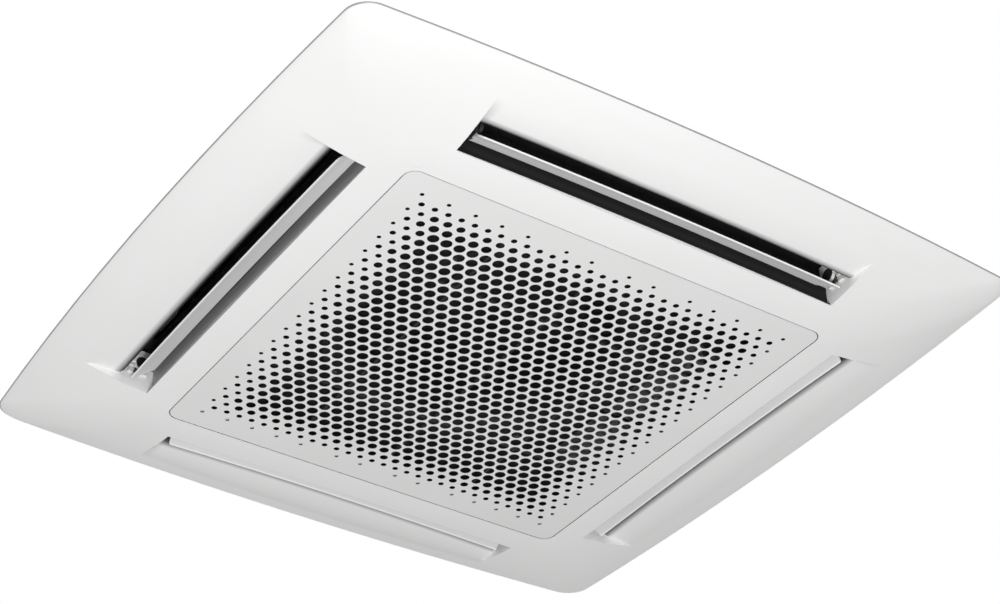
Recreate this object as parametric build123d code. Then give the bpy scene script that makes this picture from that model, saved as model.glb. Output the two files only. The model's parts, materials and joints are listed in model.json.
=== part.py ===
"""Four-way ceiling cassette air conditioner, in millimetres.

Heights in the functions are above the ceiling plane: the panel hangs below it and the casing stands
above it. The saved pieces are lowered so that the origin is the centre of the four hanger slots.
Each outlet is drawn once, with X pointing outwards from the middle of the unit, and turned to its side.
"""
from build123d import *
from math import atan2, ceil, cos, degrees, pi, radians, sin
import os

# Panel, seen from below: a bowed square that curves up to the ceiling
PANEL_HALF = 475.0
PANEL_DROP = 40.0
PANEL_WALL = 3.0
RIM_BOW = 17.0
FACE_BOW = 0.3
RIM_CORNER_R = 31.0
SADDLE = 30.0
CORNER_SWELL = 140.0
PILLOW_STEPS = 6
FACE_Z = -PANEL_DROP

# Intake grille
GRILLE_HALF = 292.0
GRILLE_CORNER_R = 15.0
GRILLE_PLATE = 2.5
FIELD_PLATE = 1.2
FIELD_HALF = 265.0
SEAM = 1.5
HOLE_PITCH = 17.76
ROW_PITCH = 15.286
ROWS = 35
HOLES_IN_LONG_ROW = 30
HOLE_DIAMETERS = (5.3, 7.5, 10.5, 12.4, 14.2)
EDGE_ROW_STEPS = (0, 2, 4, 6, 8, 11, 13, 16, 18, 21, 23, 25, 27, 29)

# Grille hinge and its touch latches
HINGE_X = 277.5
HINGE_Z = -34.5
HINGE_Y = 200.0
HINGE_PIN_R = 1.5
HINGE_KNUCKLE_R = 2.6
HINGE_EAR_R = 2.9
RUNNING_GAP = 0.05
LATCH_X = -281.0
LATCH_Y = 150.0
LATCH_Z0 = -27.0
LATCH_PLUNGER_R = 5.0
FILTER_Z0 = -34.5
FILTER_Z1 = -30.5
SCREW_X = 283.0

# Outlets: the pair across X sits a little closer in than the pair across Y
OUTLET_INNER_X = 333.0
OUTLET_INNER_Y = 340.5
OUTLET_WIDTH = 37.0
OUTLET_HALF_LENGTH = 265.0
LIP_HEIGHT = 23.5
# the rounding between throat and recess: out from the lip, and above the face
LIP_ROUND = ((-3.0, 31.4), (-2.39, 28.34), (-0.66, 25.74), (1.94, 24.0), (5.0, 23.3))
RECESS_OUTER = 432.0
RECESS_OUTER_HEIGHT = 21.0
RECESS_RUN_OUT = 13.0
THROAT_STEP = 6.0
LINER_WALL = 1.0
OUTLET_ARCH = 3.5

# Air flap
FLAP_WIDTH = 28.0
FLAP_THICKNESS = 2.8
FLAP_TILT = 28.0
BLADE_OUT = 14.8
BLADE_HEIGHT = 17.6
PIVOT_OUT = 15.5
PIVOT_HEIGHT = 33.5
FLAP_HALF_LENGTH = 257.0
FLAP_TIP = 20.0
FLAP_IDLE_END = 252.0
FLAP_CORNER_R = 6.0
JOURNAL_R = 2.5
JOURNAL_END = 272.0
EAR_R = 6.0
EAR_OFFSETS = (3.1, 5.5)
LUG_DRIVE_Y = 251.5
LUG_IDLE_Y = 246.5
LUG_WIDTH = 4.0
LUG_R = 9.8
BUSH_R = 9.0
BRACKET_HEIGHT = 18.0
BRACKET_END = 262.0
# across the blade in half widths, and above its middle line in thicknesses
BLADE_SECTION = (
    (-1.0, 0.0), (-0.98, 0.3), (-0.5, 0.95), (0.0, 1.15), (0.5, 0.95), (0.98, 0.35), (1.0, 0.0),
    (0.98, -0.35), (0.5, -0.1), (0.0, 0.15), (-0.5, -0.1), (-0.98, -0.3),
)

# Casing
CASE_HALF = 420.0
CASE_CORNER = 700.0
CASE_TOP = 246.0
SHEET = 1.2
ROOT_2 = 2 ** 0.5
PAN_TOP = 46.0
LINER_TOP = 236.0
LINER_HALF_X = 372.0
LINER_HALF_Y = 380.0
LINER_CORNER = 686.0

# Hangers
HANGER_X = 390.0
HANGER_Y = 340.0
HANGER_Z = 170.0
SLOT_LENGTH = 36.0
SLOT_R = 6.0
RIVET_PLACES = (-30, 30)

# Coil and drain pan
COIL_INNER = 262.0
COIL_OUTER = 300.0
COIL_CORNER_R = 60.0
COIL_BASE = 20.0
COIL_GAP = 225.0
BEND_PITCH = 10.5
BEND_TUBE_R = 4.0
BENDS = 9
HEADER_X, HEADER_Y, HEADER_R = 289.0, 262.0, 9.5
DISTRIBUTOR_X, DISTRIBUTOR_Y = 262.0, 288.0
PIPE_END_X = 470.0
TROUGH_INNER = 258.0
TROUGH_OUTER = 306.0
TROUGH_FLOOR = 16.0
PAN_HOLE_R = 190.0
PUMP_X = -314.7
PUMP_Y = 314.7
PUMP_R = 26.0
FLOAT_X = -338.0
FLOAT_Y = 285.0

DRAIN_PLUG_X = -282.0
DRAIN_PLUG_Y = -100.0

# Pipe and drain connections
GAS_Y, GAS_Z, GAS_R = 262.0, 170.0, 7.95
LIQUID_Y, LIQUID_Z, LIQUID_R = 222.0, 72.0, 4.8
GAS_SPIGOT_R = 11.1
LIQUID_SPIGOT_R = 7.9
PIPES = ((GAS_Y, GAS_Z, GAS_R, GAS_SPIGOT_R), (LIQUID_Y, LIQUID_Z, LIQUID_R, LIQUID_SPIGOT_R))
UNION_HEX = 12.0
UNION_LENGTH = 26.0
UNION_END_X = 474.0
DRAIN_Y, DRAIN_Z, DRAIN_R = 225.0, 150.0, 16.0
DRAIN_END_X = 462.0

# Fan and motor
FAN_R = 225.0
FAN_BASE = 42.0
FAN_TOP = 188.0
FAN_BLADES = 7
INLET_R = 172.0
BELL_R = 165.0
SHAFT_R = 6.0
MOTOR_R = 72.0
MOTOR_BASE = 196.0
MOTOR_TOP = 238.0
MOTOR_BOLT_R = 84.0
BELL_SCREW = 139.0
BELL_FLARE = 24.0
BELL_WALL = 3.0
BELL_FLANGE_R = 203.0

# Control box, hung in the intake beside the bell mouth
BOX_X0, BOX_X1 = 206.0, 252.0
BOX_HALF_Y = 150.0
BOX_Z0, BOX_Z1 = -24.0, 8.0
BOX_MIDDLE_X = (BOX_X0 + BOX_X1) / 2
BOX_INSET = 8.0
GLAND_R, GLAND_Z = 5.0, -8.0
BOARD_THICKNESS = 1.6
TERMINAL_Y = (-198.0, -186.0, -174.0)
BOARD_HALF_Y = 120.0
BOARD_Z = -3.0


def block(x0, x1, y0, y1, z0, z1):
    """A box between two corners."""
    return Pos((x0 + x1) / 2, (y0 + y1) / 2, (z0 + z1) / 2) * Box(x1 - x0, y1 - y0, z1 - z0)


def rod(radius, z0, z1, x=0.0, y=0.0):
    """An upright cylinder."""
    return Pos(x, y, (z0 + z1) / 2) * Cylinder(radius, z1 - z0)


def tube(outer, inner, z0, z1, x=0.0, y=0.0):
    """An upright tube."""
    return rod(outer, z0, z1, x, y) - rod(inner, z0 - 1, z1 + 1, x, y)


def rounded_block(half_x, half_y, radius, z0, z1):
    """A centred box with rounded upright edges."""
    return extrude(Pos(0, 0, z0) * RectangleRounded(2 * half_x, 2 * half_y, radius), z1 - z0)


def octagon(half_x, half_y, corner, z0, z1):
    """A centred box whose upright edges are cut along x + y = corner."""
    xs, ys = corner - half_y, corner - half_x
    points = [
        (half_x, -ys), (half_x, ys), (xs, half_y), (-xs, half_y),
        (-half_x, ys), (-half_x, -ys), (-xs, -half_y), (xs, -half_y),
    ]
    return extrude(Pos(0, 0, z0) * make_face(Polyline(points, close=True)), z1 - z0)


def level_outline(half, bow, radius, z):
    """One level line of the panel: four bowed sides with round corners."""
    corner = half - bow
    tips = [(corner, -corner), (corner, corner), (-corner, corner), (-corner, -corner)]
    middles = [(half, 0), (0, half), (-half, 0), (0, -half)]
    sides = []
    for index in range(4):
        start, end = tips[index], tips[(index + 1) % 4]
        sides.append(ThreePointArc(start, middles[index], end))
    face = make_face(sides)
    return Pos(0, 0, z) * fillet(face.vertices(), radius)


def pillow(inset=0.0):
    """The panel's outer form, or its hollow when it is drawn in and lifted by the wall."""
    run = PANEL_HALF - GRILLE_HALF - SEAM
    faces = []
    for step in range(PILLOW_STEPS + 1):
        angle = step * pi / 2 / PILLOW_STEPS
        out = sin(angle) ** (4 / 3)
        height = PANEL_DROP * (1 - cos(angle) ** (4 / 3))
        half = GRILLE_HALF + SEAM + run * out - inset
        bow = FACE_BOW + (RIM_BOW - FACE_BOW) * out ** 2 - SADDLE * out * (1 - out) ** 2
        corner_r = GRILLE_CORNER_R + SEAM + (RIM_CORNER_R - GRILLE_CORNER_R - SEAM) * out
        corner_r += CORNER_SWELL * out * (1 - out)
        faces.append(level_outline(half, bow, corner_r, FACE_Z + height + inset))
    return loft(faces)


def outlet_inner(side):
    """Distance from the middle of the unit to an outlet's inner edge."""
    return OUTLET_INNER_X if side % 2 == 0 else OUTLET_INNER_Y


def drive_end(side):
    """+1 or -1: the end of the outlet, along local Y, that holds the flap motor."""
    return 1 if side in (0, 3) else -1


def arched(profile, half_length):
    """Sweep a profile, given as (out, height above the face), along the outlet's shallow arch."""
    radius = OUTLET_HALF_LENGTH ** 2 / (2 * OUTLET_ARCH)
    centre_z = FACE_Z + LIP_HEIGHT - radius
    half_angle = degrees(half_length / radius)
    points = [(x, 0, FACE_Z + z) for x, z in profile]
    face = make_face(Polyline(points, close=True))
    axis = Axis((0, 0, centre_z), (1, 0, 0))
    return revolve(face.rotate(axis, -half_angle), axis, 2 * half_angle)


def outlet_air(side):
    """The open space of one outlet: its throat and the recess that runs out to the panel's surface."""
    inner = outlet_inner(side)
    lip = inner + OUTLET_WIDTH
    end = RECESS_OUTER + RECESS_RUN_OUT
    slope = (RECESS_OUTER_HEIGHT - LIP_HEIGHT) / (RECESS_OUTER - lip)
    profile = [
        (inner, -15), (inner, 8), (inner - THROAT_STEP, 15), (inner - THROAT_STEP, 60), (lip - 3, 60),
        *[(lip + out, height) for out, height in LIP_ROUND],
        (end, LIP_HEIGHT + slope * (end - lip)), (end, -15),
    ]
    return arched(profile, OUTLET_HALF_LENGTH)


def outlet_walls(side):
    """The block that the outlet's space is cut from, one wall larger all round."""
    inner = outlet_inner(side)
    lip = inner + OUTLET_WIDTH
    back = inner - THROAT_STEP - 2.5
    profile = [
        (inner - 2.5, 0), (inner - 2.5, 9), (back, 16), (back, 60), (lip - 0.5, 60),
        (lip - 0.5, 31), (lip + 1.5, LIP_HEIGHT + 3), (RECESS_OUTER + 5, RECESS_OUTER_HEIGHT + 2.6),
        (RECESS_OUTER + 5, 0),
    ]
    return arched(profile, OUTLET_HALF_LENGTH + 2.5)


def turned(shape, side):
    """Turn a piece drawn for the outlet on +X to its own side."""
    return Rot(0, 0, 90 * side) * shape


def panel_frame():
    outer = pillow()
    frame = outer - pillow(PANEL_WALL)
    wall_outer = GRILLE_HALF + 9
    rim = rounded_block(wall_outer, wall_outer, 21, FACE_Z + 1.5, -8)
    gasket_rib = rounded_block(440, 440, 34, -34, -3) - rounded_block(436.5, 436.5, 31, -35, -2)
    walls = [turned(outlet_walls(side), side) for side in range(4)]
    roof_trim = block(-500, 500, -500, 500, -3, 60)
    inside = outer - roof_trim
    frame += (rim + gasket_rib + walls[0] + walls[1] + walls[2] + walls[3]) & inside
    frame -= grille_opening()
    for side in range(4):
        frame -= turned(outlet_air(side), side)
        end = drive_end(side)
        hole = pivot_place(side, end * 268) * Cylinder(JOURNAL_R + 0.6, 14)
        frame -= turned(hole, side)
    for x in (-1, 1):
        for y in (-1, 1):
            frame += panel_corner_tab(x, y)
    for y in (-1, 1):
        frame += hinge_lug(y) + latch_shelf(y)
    return frame


def grille_opening():
    """The square hole for the grille; its lip widens upwards so that the hinge side can swing clear."""
    half = GRILLE_HALF + SEAM
    lower = Pos(0, 0, FACE_Z + 0.4) * RectangleRounded(2 * half, 2 * half, GRILLE_CORNER_R + SEAM)
    wide = half + 4.5
    upper = Pos(0, 0, FACE_Z + 3) * RectangleRounded(2 * wide, 2 * wide, GRILLE_CORNER_R + SEAM + 3)
    opening = loft([lower, upper], ruled=True)
    opening += rounded_block(half, half, GRILLE_CORNER_R + SEAM, FACE_Z - 5, FACE_Z + 0.4)
    return opening + rounded_block(wide, wide, GRILLE_CORNER_R + SEAM + 3, FACE_Z + 3, 20)


def panel_corner_tab(x, y):
    """Corner plate with a raised boss that a long screw pulls up against the drain pan."""
    tab = block(256, 299.5, 256, 299.5, -15, -12)
    tab -= Pos(256, 256, -13.5) * Rot(0, 0, 45) * Box(34, 34, 4)
    tab += rod(7, -15, 0, SCREW_X, SCREW_X)
    tab -= rod(2.8, -16, 1, SCREW_X, SCREW_X)
    return mirrored(tab, x, y)


def mirrored(shape, x, y):
    """Copy a piece drawn in the +X +Y quarter into another quarter."""
    if x < 0:
        shape = mirror(shape, about=Plane.YZ)
    if y < 0:
        shape = mirror(shape, about=Plane.XZ)
    return shape


def hinge_lug(y):
    """Gooseneck that carries the grille's hinge pin from above, clear of the swinging edge."""
    centre = y * HINGE_Y
    left, right = HINGE_X - HINGE_KNUCKLE_R, HINGE_X + HINGE_KNUCKLE_R
    arm = block(left, 298.5, centre - 5, centre + 5, -18, -12)
    neck = block(left, right, centre - 5, centre + 5, HINGE_Z, -12)
    knuckle = Pos(HINGE_X, centre, HINGE_Z) * Rot(90, 0, 0) * Cylinder(HINGE_KNUCKLE_R, 10)
    bore = Pos(HINGE_X, centre, HINGE_Z) * Rot(90, 0, 0) * Cylinder(HINGE_PIN_R + RUNNING_GAP, 12)
    return arm + neck + knuckle - bore


def latch_shelf(y):
    """Shelf in the opening, on the side away from the hinge, that a touch latch is fixed under."""
    centre = y * LATCH_Y
    return block(-298.5, LATCH_X + 9, centre - 12, centre + 12, -14, -11)


def hole_diameter(column, row):
    """Holes shrink over the last few columns and rows at each border."""
    from_side = min(column, HOLES_IN_LONG_ROW - 1 - column)
    from_end = min(row, ROWS - 1 - row)
    full = len(HOLE_DIAMETERS) - 1
    side_size = full if from_side >= 3 else ceil(from_side)
    return HOLE_DIAMETERS[min(side_size, from_end, full)]


def hole_places():
    """Centre and diameter of every hole: rows half a pitch out of step, thinned in the first and last."""
    places = []
    for row in range(ROWS):
        columns = range(HOLES_IN_LONG_ROW) if row % 2 == 0 else range(HOLES_IN_LONG_ROW - 1)
        for index in columns:
            if row in (0, ROWS - 1) and index not in EDGE_ROW_STEPS:
                continue
            column = index + (row % 2) / 2
            x = (column - (HOLES_IN_LONG_ROW - 1) / 2) * HOLE_PITCH
            y = (row - (ROWS - 1) / 2) * ROW_PITCH
            places.append((x, y, hole_diameter(column, row)))
    return places


def grille_plate():
    """Perforated plate, thinner across the perforated field than at its border."""
    outline = RectangleRounded(2 * GRILLE_HALF, 2 * GRILLE_HALF, GRILLE_CORNER_R).face().outer_wire()
    holes = []
    for x, y, diameter in hole_places():
        holes.append(Wire([Edge.make_circle(diameter / 2, Plane((x, y, 0)))]))
    field = extrude(Pos(0, 0, FACE_Z) * Face(outline, holes), FIELD_PLATE)
    low, high = FACE_Z + FIELD_PLATE, FACE_Z + GRILLE_PLATE
    border = rounded_block(GRILLE_HALF, GRILLE_HALF, GRILLE_CORNER_R, low, high)
    return field + border - rounded_block(FIELD_HALF, FIELD_HALF, 4, low, high + 1)


def grille_frame():
    """Stiffening ring bonded behind the plate, with the hinge ears and the seats for the filter."""
    base, top = FACE_Z + GRILLE_PLATE, -28.5
    ring = rounded_block(274, 274, 8, base, top) - rounded_block(266, 266, 4, base - 1, top + 1)
    ring += rounded_block(270, 270, 4, base, base + 3) - rounded_block(262, 262, 4, base - 1, base + 4)
    for y in (-1, 1):
        for offset in (-8, 8):
            ring += hinge_ear(y * HINGE_Y + offset)
    for y in (-1, 1):
        ring += block(-290, -273, y * LATCH_Y - 9, y * LATCH_Y + 9, base, base + 4)
    return ring


def hinge_ear(y):
    """One of the two ears that straddle a hinge knuckle."""
    ear = block(273, HINGE_X, y - 2.25, y + 2.25, FACE_Z + GRILLE_PLATE, HINGE_Z + 3)
    ear += Pos(HINGE_X, y, HINGE_Z) * Rot(90, 0, 0) * Cylinder(HINGE_EAR_R, 4.5)
    return ear - Pos(HINGE_X, y, HINGE_Z) * Rot(90, 0, 0) * Cylinder(HINGE_PIN_R, 6)


def hinge_pins():
    pin = Rot(90, 0, 0) * Cylinder(HINGE_PIN_R, 20.5)
    return [Pos(HINGE_X, y * HINGE_Y, HINGE_Z) * pin for y in (-1, 1)]


def filter_frame():
    """Outer frame and cross bars of the washable filter."""
    frame = rounded_block(265, 265, 4, FILTER_Z0, FILTER_Z1) - rounded_block(257, 257, 3, -60, 0)
    for place in (-127, 0, 127):
        frame += block(place - 2, place + 2, -258, 258, FILTER_Z0, FILTER_Z1)
        frame += block(-258, 258, place - 2, place + 2, FILTER_Z0, FILTER_Z1)
    return frame


def filter_mesh():
    """Fine mesh laid over the filter frame's bars."""
    return rounded_block(263, 263, 3, FILTER_Z1, FILTER_Z1 + 0.8)


def strike_plates():
    plates = []
    for y in (-1, 1):
        centre = y * LATCH_Y
        plates.append(block(LATCH_X - 7, LATCH_X + 7, centre - 7, centre + 7, FACE_Z + 6.5, FACE_Z + 8))
    return plates


def latch_bodies():
    """Touch latch housings under their shelves, open at the bottom for the plungers."""
    bodies = []
    for y in (-LATCH_Y, LATCH_Y):
        bore = rod(LATCH_PLUNGER_R + RUNNING_GAP, LATCH_Z0 - 1, -15, LATCH_X, y)
        bodies.append(rod(8, LATCH_Z0, -14, LATCH_X, y) - bore)
    return bodies


def latch_plunger(y):
    """Sprung magnet plunger that holds the strike plate and pushes the grille open."""
    centre = y * LATCH_Y
    return rod(LATCH_PLUNGER_R, FACE_Z + 8.4, -19.5, LATCH_X, centre)


def pivot_place(side, y):
    """Location on a flap's pivot line, drawn for +X, with the local Z axis along the line."""
    return Pos(outlet_inner(side) + PIVOT_OUT, y, FACE_Z + PIVOT_HEIGHT) * Rot(90, 0, 0)


def lug_middle(side, y):
    """Where the middle of a bracket's lug lies along the outlet; y is +1 or -1 for the end."""
    return y * (LUG_DRIVE_Y if y == drive_end(side) else LUG_IDLE_Y)


def flap(side):
    """Air flap at its rest tilt: a thin cambered blade, with an ear and a journal behind each end."""
    end = drive_end(side)
    blade_x = outlet_inner(side) + BLADE_OUT
    blade = flap_blade(blade_x)
    cut_x = blade_x - FLAP_WIDTH / 2
    tip = end * FLAP_HALF_LENGTH
    past_tip = tip + end
    notch = [(cut_x - 4, past_tip), (cut_x - 4, tip - end * FLAP_TIP), (blade_x + 6, past_tip)]
    blade -= extrude(Pos(0, 0, FACE_Z - 10) * make_face(Polyline(notch, close=True)), 40)
    blade -= idle_end_cut(blade_x, -end)
    for y in (-1, 1):
        start = lug_middle(side, y) - y * 0.7
        stop = y * (JOURNAL_END if y == end else FLAP_IDLE_END)
        journal = pivot_place(side, (start + stop) / 2) * Cylinder(JOURNAL_R, abs(stop - start))
        blade += flap_ear(side, y) + journal
    return turned(blade, side)


def idle_end_cut(blade_x, y):
    """What comes off the blade's idle end: its last few millimetres and its outer corner."""
    edge_x = blade_x + FLAP_WIDTH / 2 * cos(radians(FLAP_TILT))
    end_y, past_y = y * FLAP_IDLE_END, y * (FLAP_HALF_LENGTH + 3)
    radius, turn = FLAP_CORNER_R, FLAP_CORNER_R * (1 - 1 / ROOT_2)
    start, stop = (edge_x - radius, end_y), (edge_x, end_y - y * radius)
    corner = ThreePointArc(start, (edge_x - turn, end_y - y * turn), stop)
    rest = Polyline(
        stop, (edge_x + 6, end_y - y * radius), (edge_x + 6, past_y), (blade_x - 30, past_y),
        (blade_x - 30, end_y), start,
    )
    return extrude(Pos(0, 0, FACE_Z - 10) * make_face(corner.edges() + rest.edges()), 40)


def flap_ear(side, y):
    """Round-headed tab from the back of the blade up to the pivot line, past the bracket's lug."""
    inner = outlet_inner(side)
    head_x = inner + PIVOT_OUT
    foot = [(inner + 8, 22.3), (inner + 20, 16.3)]
    if y == drive_end(side):
        foot = [(inner + 19.5, 15.8), (inner + 26, 12.5)]
    web = foot + [(head_x + EAR_R, PIVOT_HEIGHT), (head_x - EAR_R, PIVOT_HEIGHT)]
    start, stop = (lug_middle(side, y) + y * offset for offset in EAR_OFFSETS)
    points = [(x, start, FACE_Z + z) for x, z in web]
    tab = extrude(make_face(Polyline(points, close=True)), abs(stop - start), dir=(0, y, 0))
    return tab + pivot_place(side, (start + stop) / 2) * Cylinder(EAR_R, abs(stop - start))


def flap_blade(blade_x):
    """The blade alone: a shallow curved section with rounded edges, swept along the outlet's arch."""
    half = FLAP_WIDTH / 2
    tilt = radians(FLAP_TILT)
    middle_z = BLADE_HEIGHT + OUTLET_ARCH
    section = []
    for across, up in BLADE_SECTION:
        x, z = across * half, up * FLAP_THICKNESS
        section.append((blade_x + x * cos(tilt) + z * sin(tilt), middle_z - x * sin(tilt) + z * cos(tilt)))
    return arched(section, FLAP_HALF_LENGTH)


def bracket_body(side, y):
    """A lug round the pivot line, hung from a beam that runs over the flap's ear to the end wall."""
    x0, x1 = outlet_inner(side) + 3, outlet_inner(side) + 29
    low = FACE_Z + PIVOT_HEIGHT
    top = low + BRACKET_HEIGHT
    middle = lug_middle(side, y)
    body = pivot_place(side, middle) * Cylinder(LUG_R, LUG_WIDTH)
    body += block(x0, x1, middle - LUG_WIDTH / 2, middle + LUG_WIDTH / 2, low, top)
    body += block(x0, x1, *sorted((middle, y * BRACKET_END)), low + 9.2, top)
    body += block(x0, x1, *sorted((y * (BRACKET_END - 2.5), y * BRACKET_END)), low, top)
    return body + block(x0, x1, *sorted((y * 261, y * OUTLET_HALF_LENGTH)), low - 8, low + 2)


def flap_brackets():
    """White brackets at the drive ends of the outlets, each bored for its dark bush."""
    brackets = []
    for side in range(4):
        y = drive_end(side)
        bracket = bracket_body(side, y)
        bracket -= pivot_place(side, lug_middle(side, y)) * Cylinder(BUSH_R + 0.02, LUG_WIDTH + 2)
        bracket -= pivot_place(side, y * BRACKET_END) * Cylinder(JOURNAL_R + 1.5, 8)
        brackets.append(turned(bracket, side))
    return brackets


def flap_bushes():
    """Dark flap bearings: a plain disc at each drive end, bracket and bearing in one at the other."""
    bushes = []
    for side in range(4):
        for y in (-1, 1):
            middle = lug_middle(side, y)
            bearing = bracket_body(side, y)
            if y == drive_end(side):
                bearing = pivot_place(side, middle) * Cylinder(BUSH_R, LUG_WIDTH)
            bore = pivot_place(side, middle + y * 1.05) * Cylinder(JOURNAL_R + RUNNING_GAP, 3.9)
            bushes.append(turned(bearing - bore, side))
    return bushes


def flap_motors():
    """One small geared stepper motor behind an end wall of each outlet."""
    motors = []
    for side in range(4):
        end = drive_end(side)
        shaft = pivot_place(side, end * 276.5)
        body = Pos(0, 0, -7) * shaft * Cylinder(12, 15)
        bore = pivot_place(side, end * 271) * Cylinder(JOURNAL_R + RUNNING_GAP, 6)
        motors.append(turned(body + shaft * Cylinder(5, 15) - bore, side))
    return motors


def outlet_liners():
    """Dark linings in the outlets' throats: on every outer wall, and on the inner walls of two sides."""
    liners = []
    for side in range(4):
        inner = outlet_inner(side)
        back = inner - THROAT_STEP
        front = inner + OUTLET_WIDTH - 3
        inner_strip = [
            (inner, 8.6), (back, 15.6), (back, 36), (back + LINER_WALL, 36), (back + LINER_WALL, 16),
            (inner, 9.9),
        ]
        outer_strip = [
            (front, 36), (front, 31.4), (front + 0.55, 28.5), (front - 0.45, 28.5),
            (front - LINER_WALL, 31.4), (front - LINER_WALL, 36),
        ]
        for strip in (inner_strip, outer_strip) if side % 2 else (outer_strip,):
            liners.append(turned(arched(strip, OUTLET_HALF_LENGTH - 0.5), side))
    return liners


def rim_gasket():
    """Foam strip that seals the panel to the ceiling."""
    return rounded_block(442, 442, 36, -3, 0) - rounded_block(434.5, 434.5, 29, -4, 1)


def outlet_gaskets():
    """Foam collars between the panel's throats and the drain pan's air slots."""
    rings = []
    for side in range(4):
        inner = outlet_inner(side) - 6
        outer = outlet_inner(side) + OUTLET_WIDTH - 3
        ring = block(inner - 4, outer + 4, -268.5, 268.5, -3, 0) - block(inner, outer, -264.5, 264.5, -4, 1)
        rings.append(turned(ring, side))
    return rings


def screw(x, y, under_head, length, shank_r, head_r, head_height):
    """A screw driven upwards from below, its head under the joint."""
    head = rod(head_r, under_head - head_height, under_head, x, y)
    return head + rod(shank_r, under_head, under_head + length, x, y)


def panel_screws():
    screws = []
    for x in (-1, 1):
        for y in (-1, 1):
            screws.append(screw(x * SCREW_X, y * SCREW_X, -15, 27, 2.5, 5, 3))
    return screws


def drain_pan():
    """Foam drain pan that closes the casing from below: trough, wells, fan hole and four air slots."""
    pan = octagon(CASE_HALF - SHEET, CASE_HALF - SHEET, CASE_CORNER - SHEET * ROOT_2, 0, PAN_TOP)
    pan -= rod(PAN_HOLE_R, -1, 60)
    pan -= rod(240, 30, 60)
    trough = rounded_block(TROUGH_OUTER, TROUGH_OUTER, COIL_CORNER_R + 6, TROUGH_FLOOR, 60)
    trough -= rounded_block(TROUGH_INNER, TROUGH_INNER, 18, TROUGH_FLOOR, 60)
    pan -= trough
    pan -= rod(PUMP_R + 8, TROUGH_FLOOR - 2, 60, PUMP_X, PUMP_Y)
    pan -= rod(13, TROUGH_FLOOR - 2, 60, FLOAT_X, FLOAT_Y)
    pan -= Rot(0, 0, 135) * (Pos(412, 0, 38) * Box(40, 16, 44))
    pan -= rod(10, -1, 60, DRAIN_PLUG_X, DRAIN_PLUG_Y)
    pan -= block(BOX_X0 - 2, BOX_X1 + 2, -BOX_HALF_Y - 2, BOX_HALF_Y + 2, -1, BOX_Z1)
    for side in range(4):
        inner = outlet_inner(side) - 6
        slot = block(inner, outlet_inner(side) + OUTLET_WIDTH - 3, -264.5, 264.5, -1, 60)
        pan -= turned(slot, side)
    for x in (-1, 1):
        for y in (-1, 1):
            pan -= rod(2.5, -1, 12.5, x * SCREW_X, y * SCREW_X)
            pan -= rod(2, -1, 10.5, x * BELL_SCREW, y * BELL_SCREW)
    return pan


def drain_plug():
    """Rubber bung in the pan's service drain."""
    return rod(10, 0, TROUGH_FLOOR, DRAIN_PLUG_X, DRAIN_PLUG_Y) + rod(12.5, -3, 0, DRAIN_PLUG_X, DRAIN_PLUG_Y)


def chassis_shell():
    """Folded sheet casing: eight walls, with the pipe and drain holes."""
    shell = octagon(CASE_HALF, CASE_HALF, CASE_CORNER, 0, CASE_TOP)
    shell -= octagon(CASE_HALF - SHEET, CASE_HALF - SHEET, CASE_CORNER - SHEET * ROOT_2, -1, CASE_TOP + 1)
    for y, z, radius, _ in PIPES:
        shell -= Pos(CASE_HALF, y, z) * Rot(0, 90, 0) * Cylinder(radius + 6, 12)
    shell -= Pos(-CASE_HALF, DRAIN_Y, DRAIN_Z) * Rot(0, 90, 0) * Cylinder(DRAIN_R, 12)
    face = CASE_CORNER / ROOT_2
    for x in (-1, 1):
        for y in (-1, 1):
            for along in RIVET_PLACES:
                shell -= mirrored(rivet_shape(2.5, face - 5, face + 5, along), x, y)
    return shell


def top_plate():
    """Lid of the casing with pressed stiffening beads and the motor bolt holes."""
    plate = octagon(CASE_HALF, CASE_HALF, CASE_CORNER, CASE_TOP, CASE_TOP + SHEET)
    for radius in (150, 215, 280):
        plate += tube(radius + 5, radius, CASE_TOP + SHEET, CASE_TOP + SHEET + 2)
    for angle in (45, 135, 225, 315):
        bead = Pos(375, 0, CASE_TOP + SHEET + 1) * Box(150, 10, 2)
        plate += Rot(0, 0, angle) * bead
    for x, y in motor_bolt_places():
        plate -= rod(3, CASE_TOP - 1, CASE_TOP + 5, x, y)
    return plate


def casing_liner():
    """Foam lining of the casing walls above the drain pan, with the pipe and drain passages."""
    liner = octagon(CASE_HALF - SHEET, CASE_HALF - SHEET, CASE_CORNER - SHEET * ROOT_2, PAN_TOP, LINER_TOP)
    liner -= octagon(LINER_HALF_X, LINER_HALF_Y, LINER_CORNER, PAN_TOP - 1, LINER_TOP + 1)
    for y, z, radius, _ in PIPES:
        liner -= Pos(395, y, z) * Rot(0, 90, 0) * Cylinder(radius + 1, 60)
    liner -= Pos(-395, DRAIN_Y, DRAIN_Z) * Rot(0, 90, 0) * Cylinder(DRAIN_R, 60)
    return liner


def top_insulation():
    sheet = octagon(CASE_HALF - SHEET, CASE_HALF - SHEET, CASE_CORNER - SHEET * ROOT_2, LINER_TOP, CASE_TOP)
    return sheet - rod(105, LINER_TOP - 1, CASE_TOP + 1)


def hanger_brackets():
    """Corner angles with an open shelf, slotted for the hanging rods."""
    shelf = block(352, 424, 316, 364, HANGER_Z, HANGER_Z + 3)
    face = CASE_CORNER / ROOT_2
    plate = Rot(0, 0, 45) * (Pos(face + 1.5, 0, HANGER_Z - 10) * Box(3, 90, 56))
    bracket = shelf + plate - Rot(0, 0, 45) * (Pos(face - 50, 0, HANGER_Z) * Box(100, 400, 200))
    for along in RIVET_PLACES:
        bracket -= rivet_shape(2.5, face - 5, face + 10, along)
    slot = extrude(Pos(HANGER_X, HANGER_Y, HANGER_Z - 5) * SlotOverall(SLOT_LENGTH, 2 * SLOT_R), 15)
    bracket -= slot
    return [mirrored(bracket, x, y) for x in (-1, 1) for y in (-1, 1)]


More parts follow.
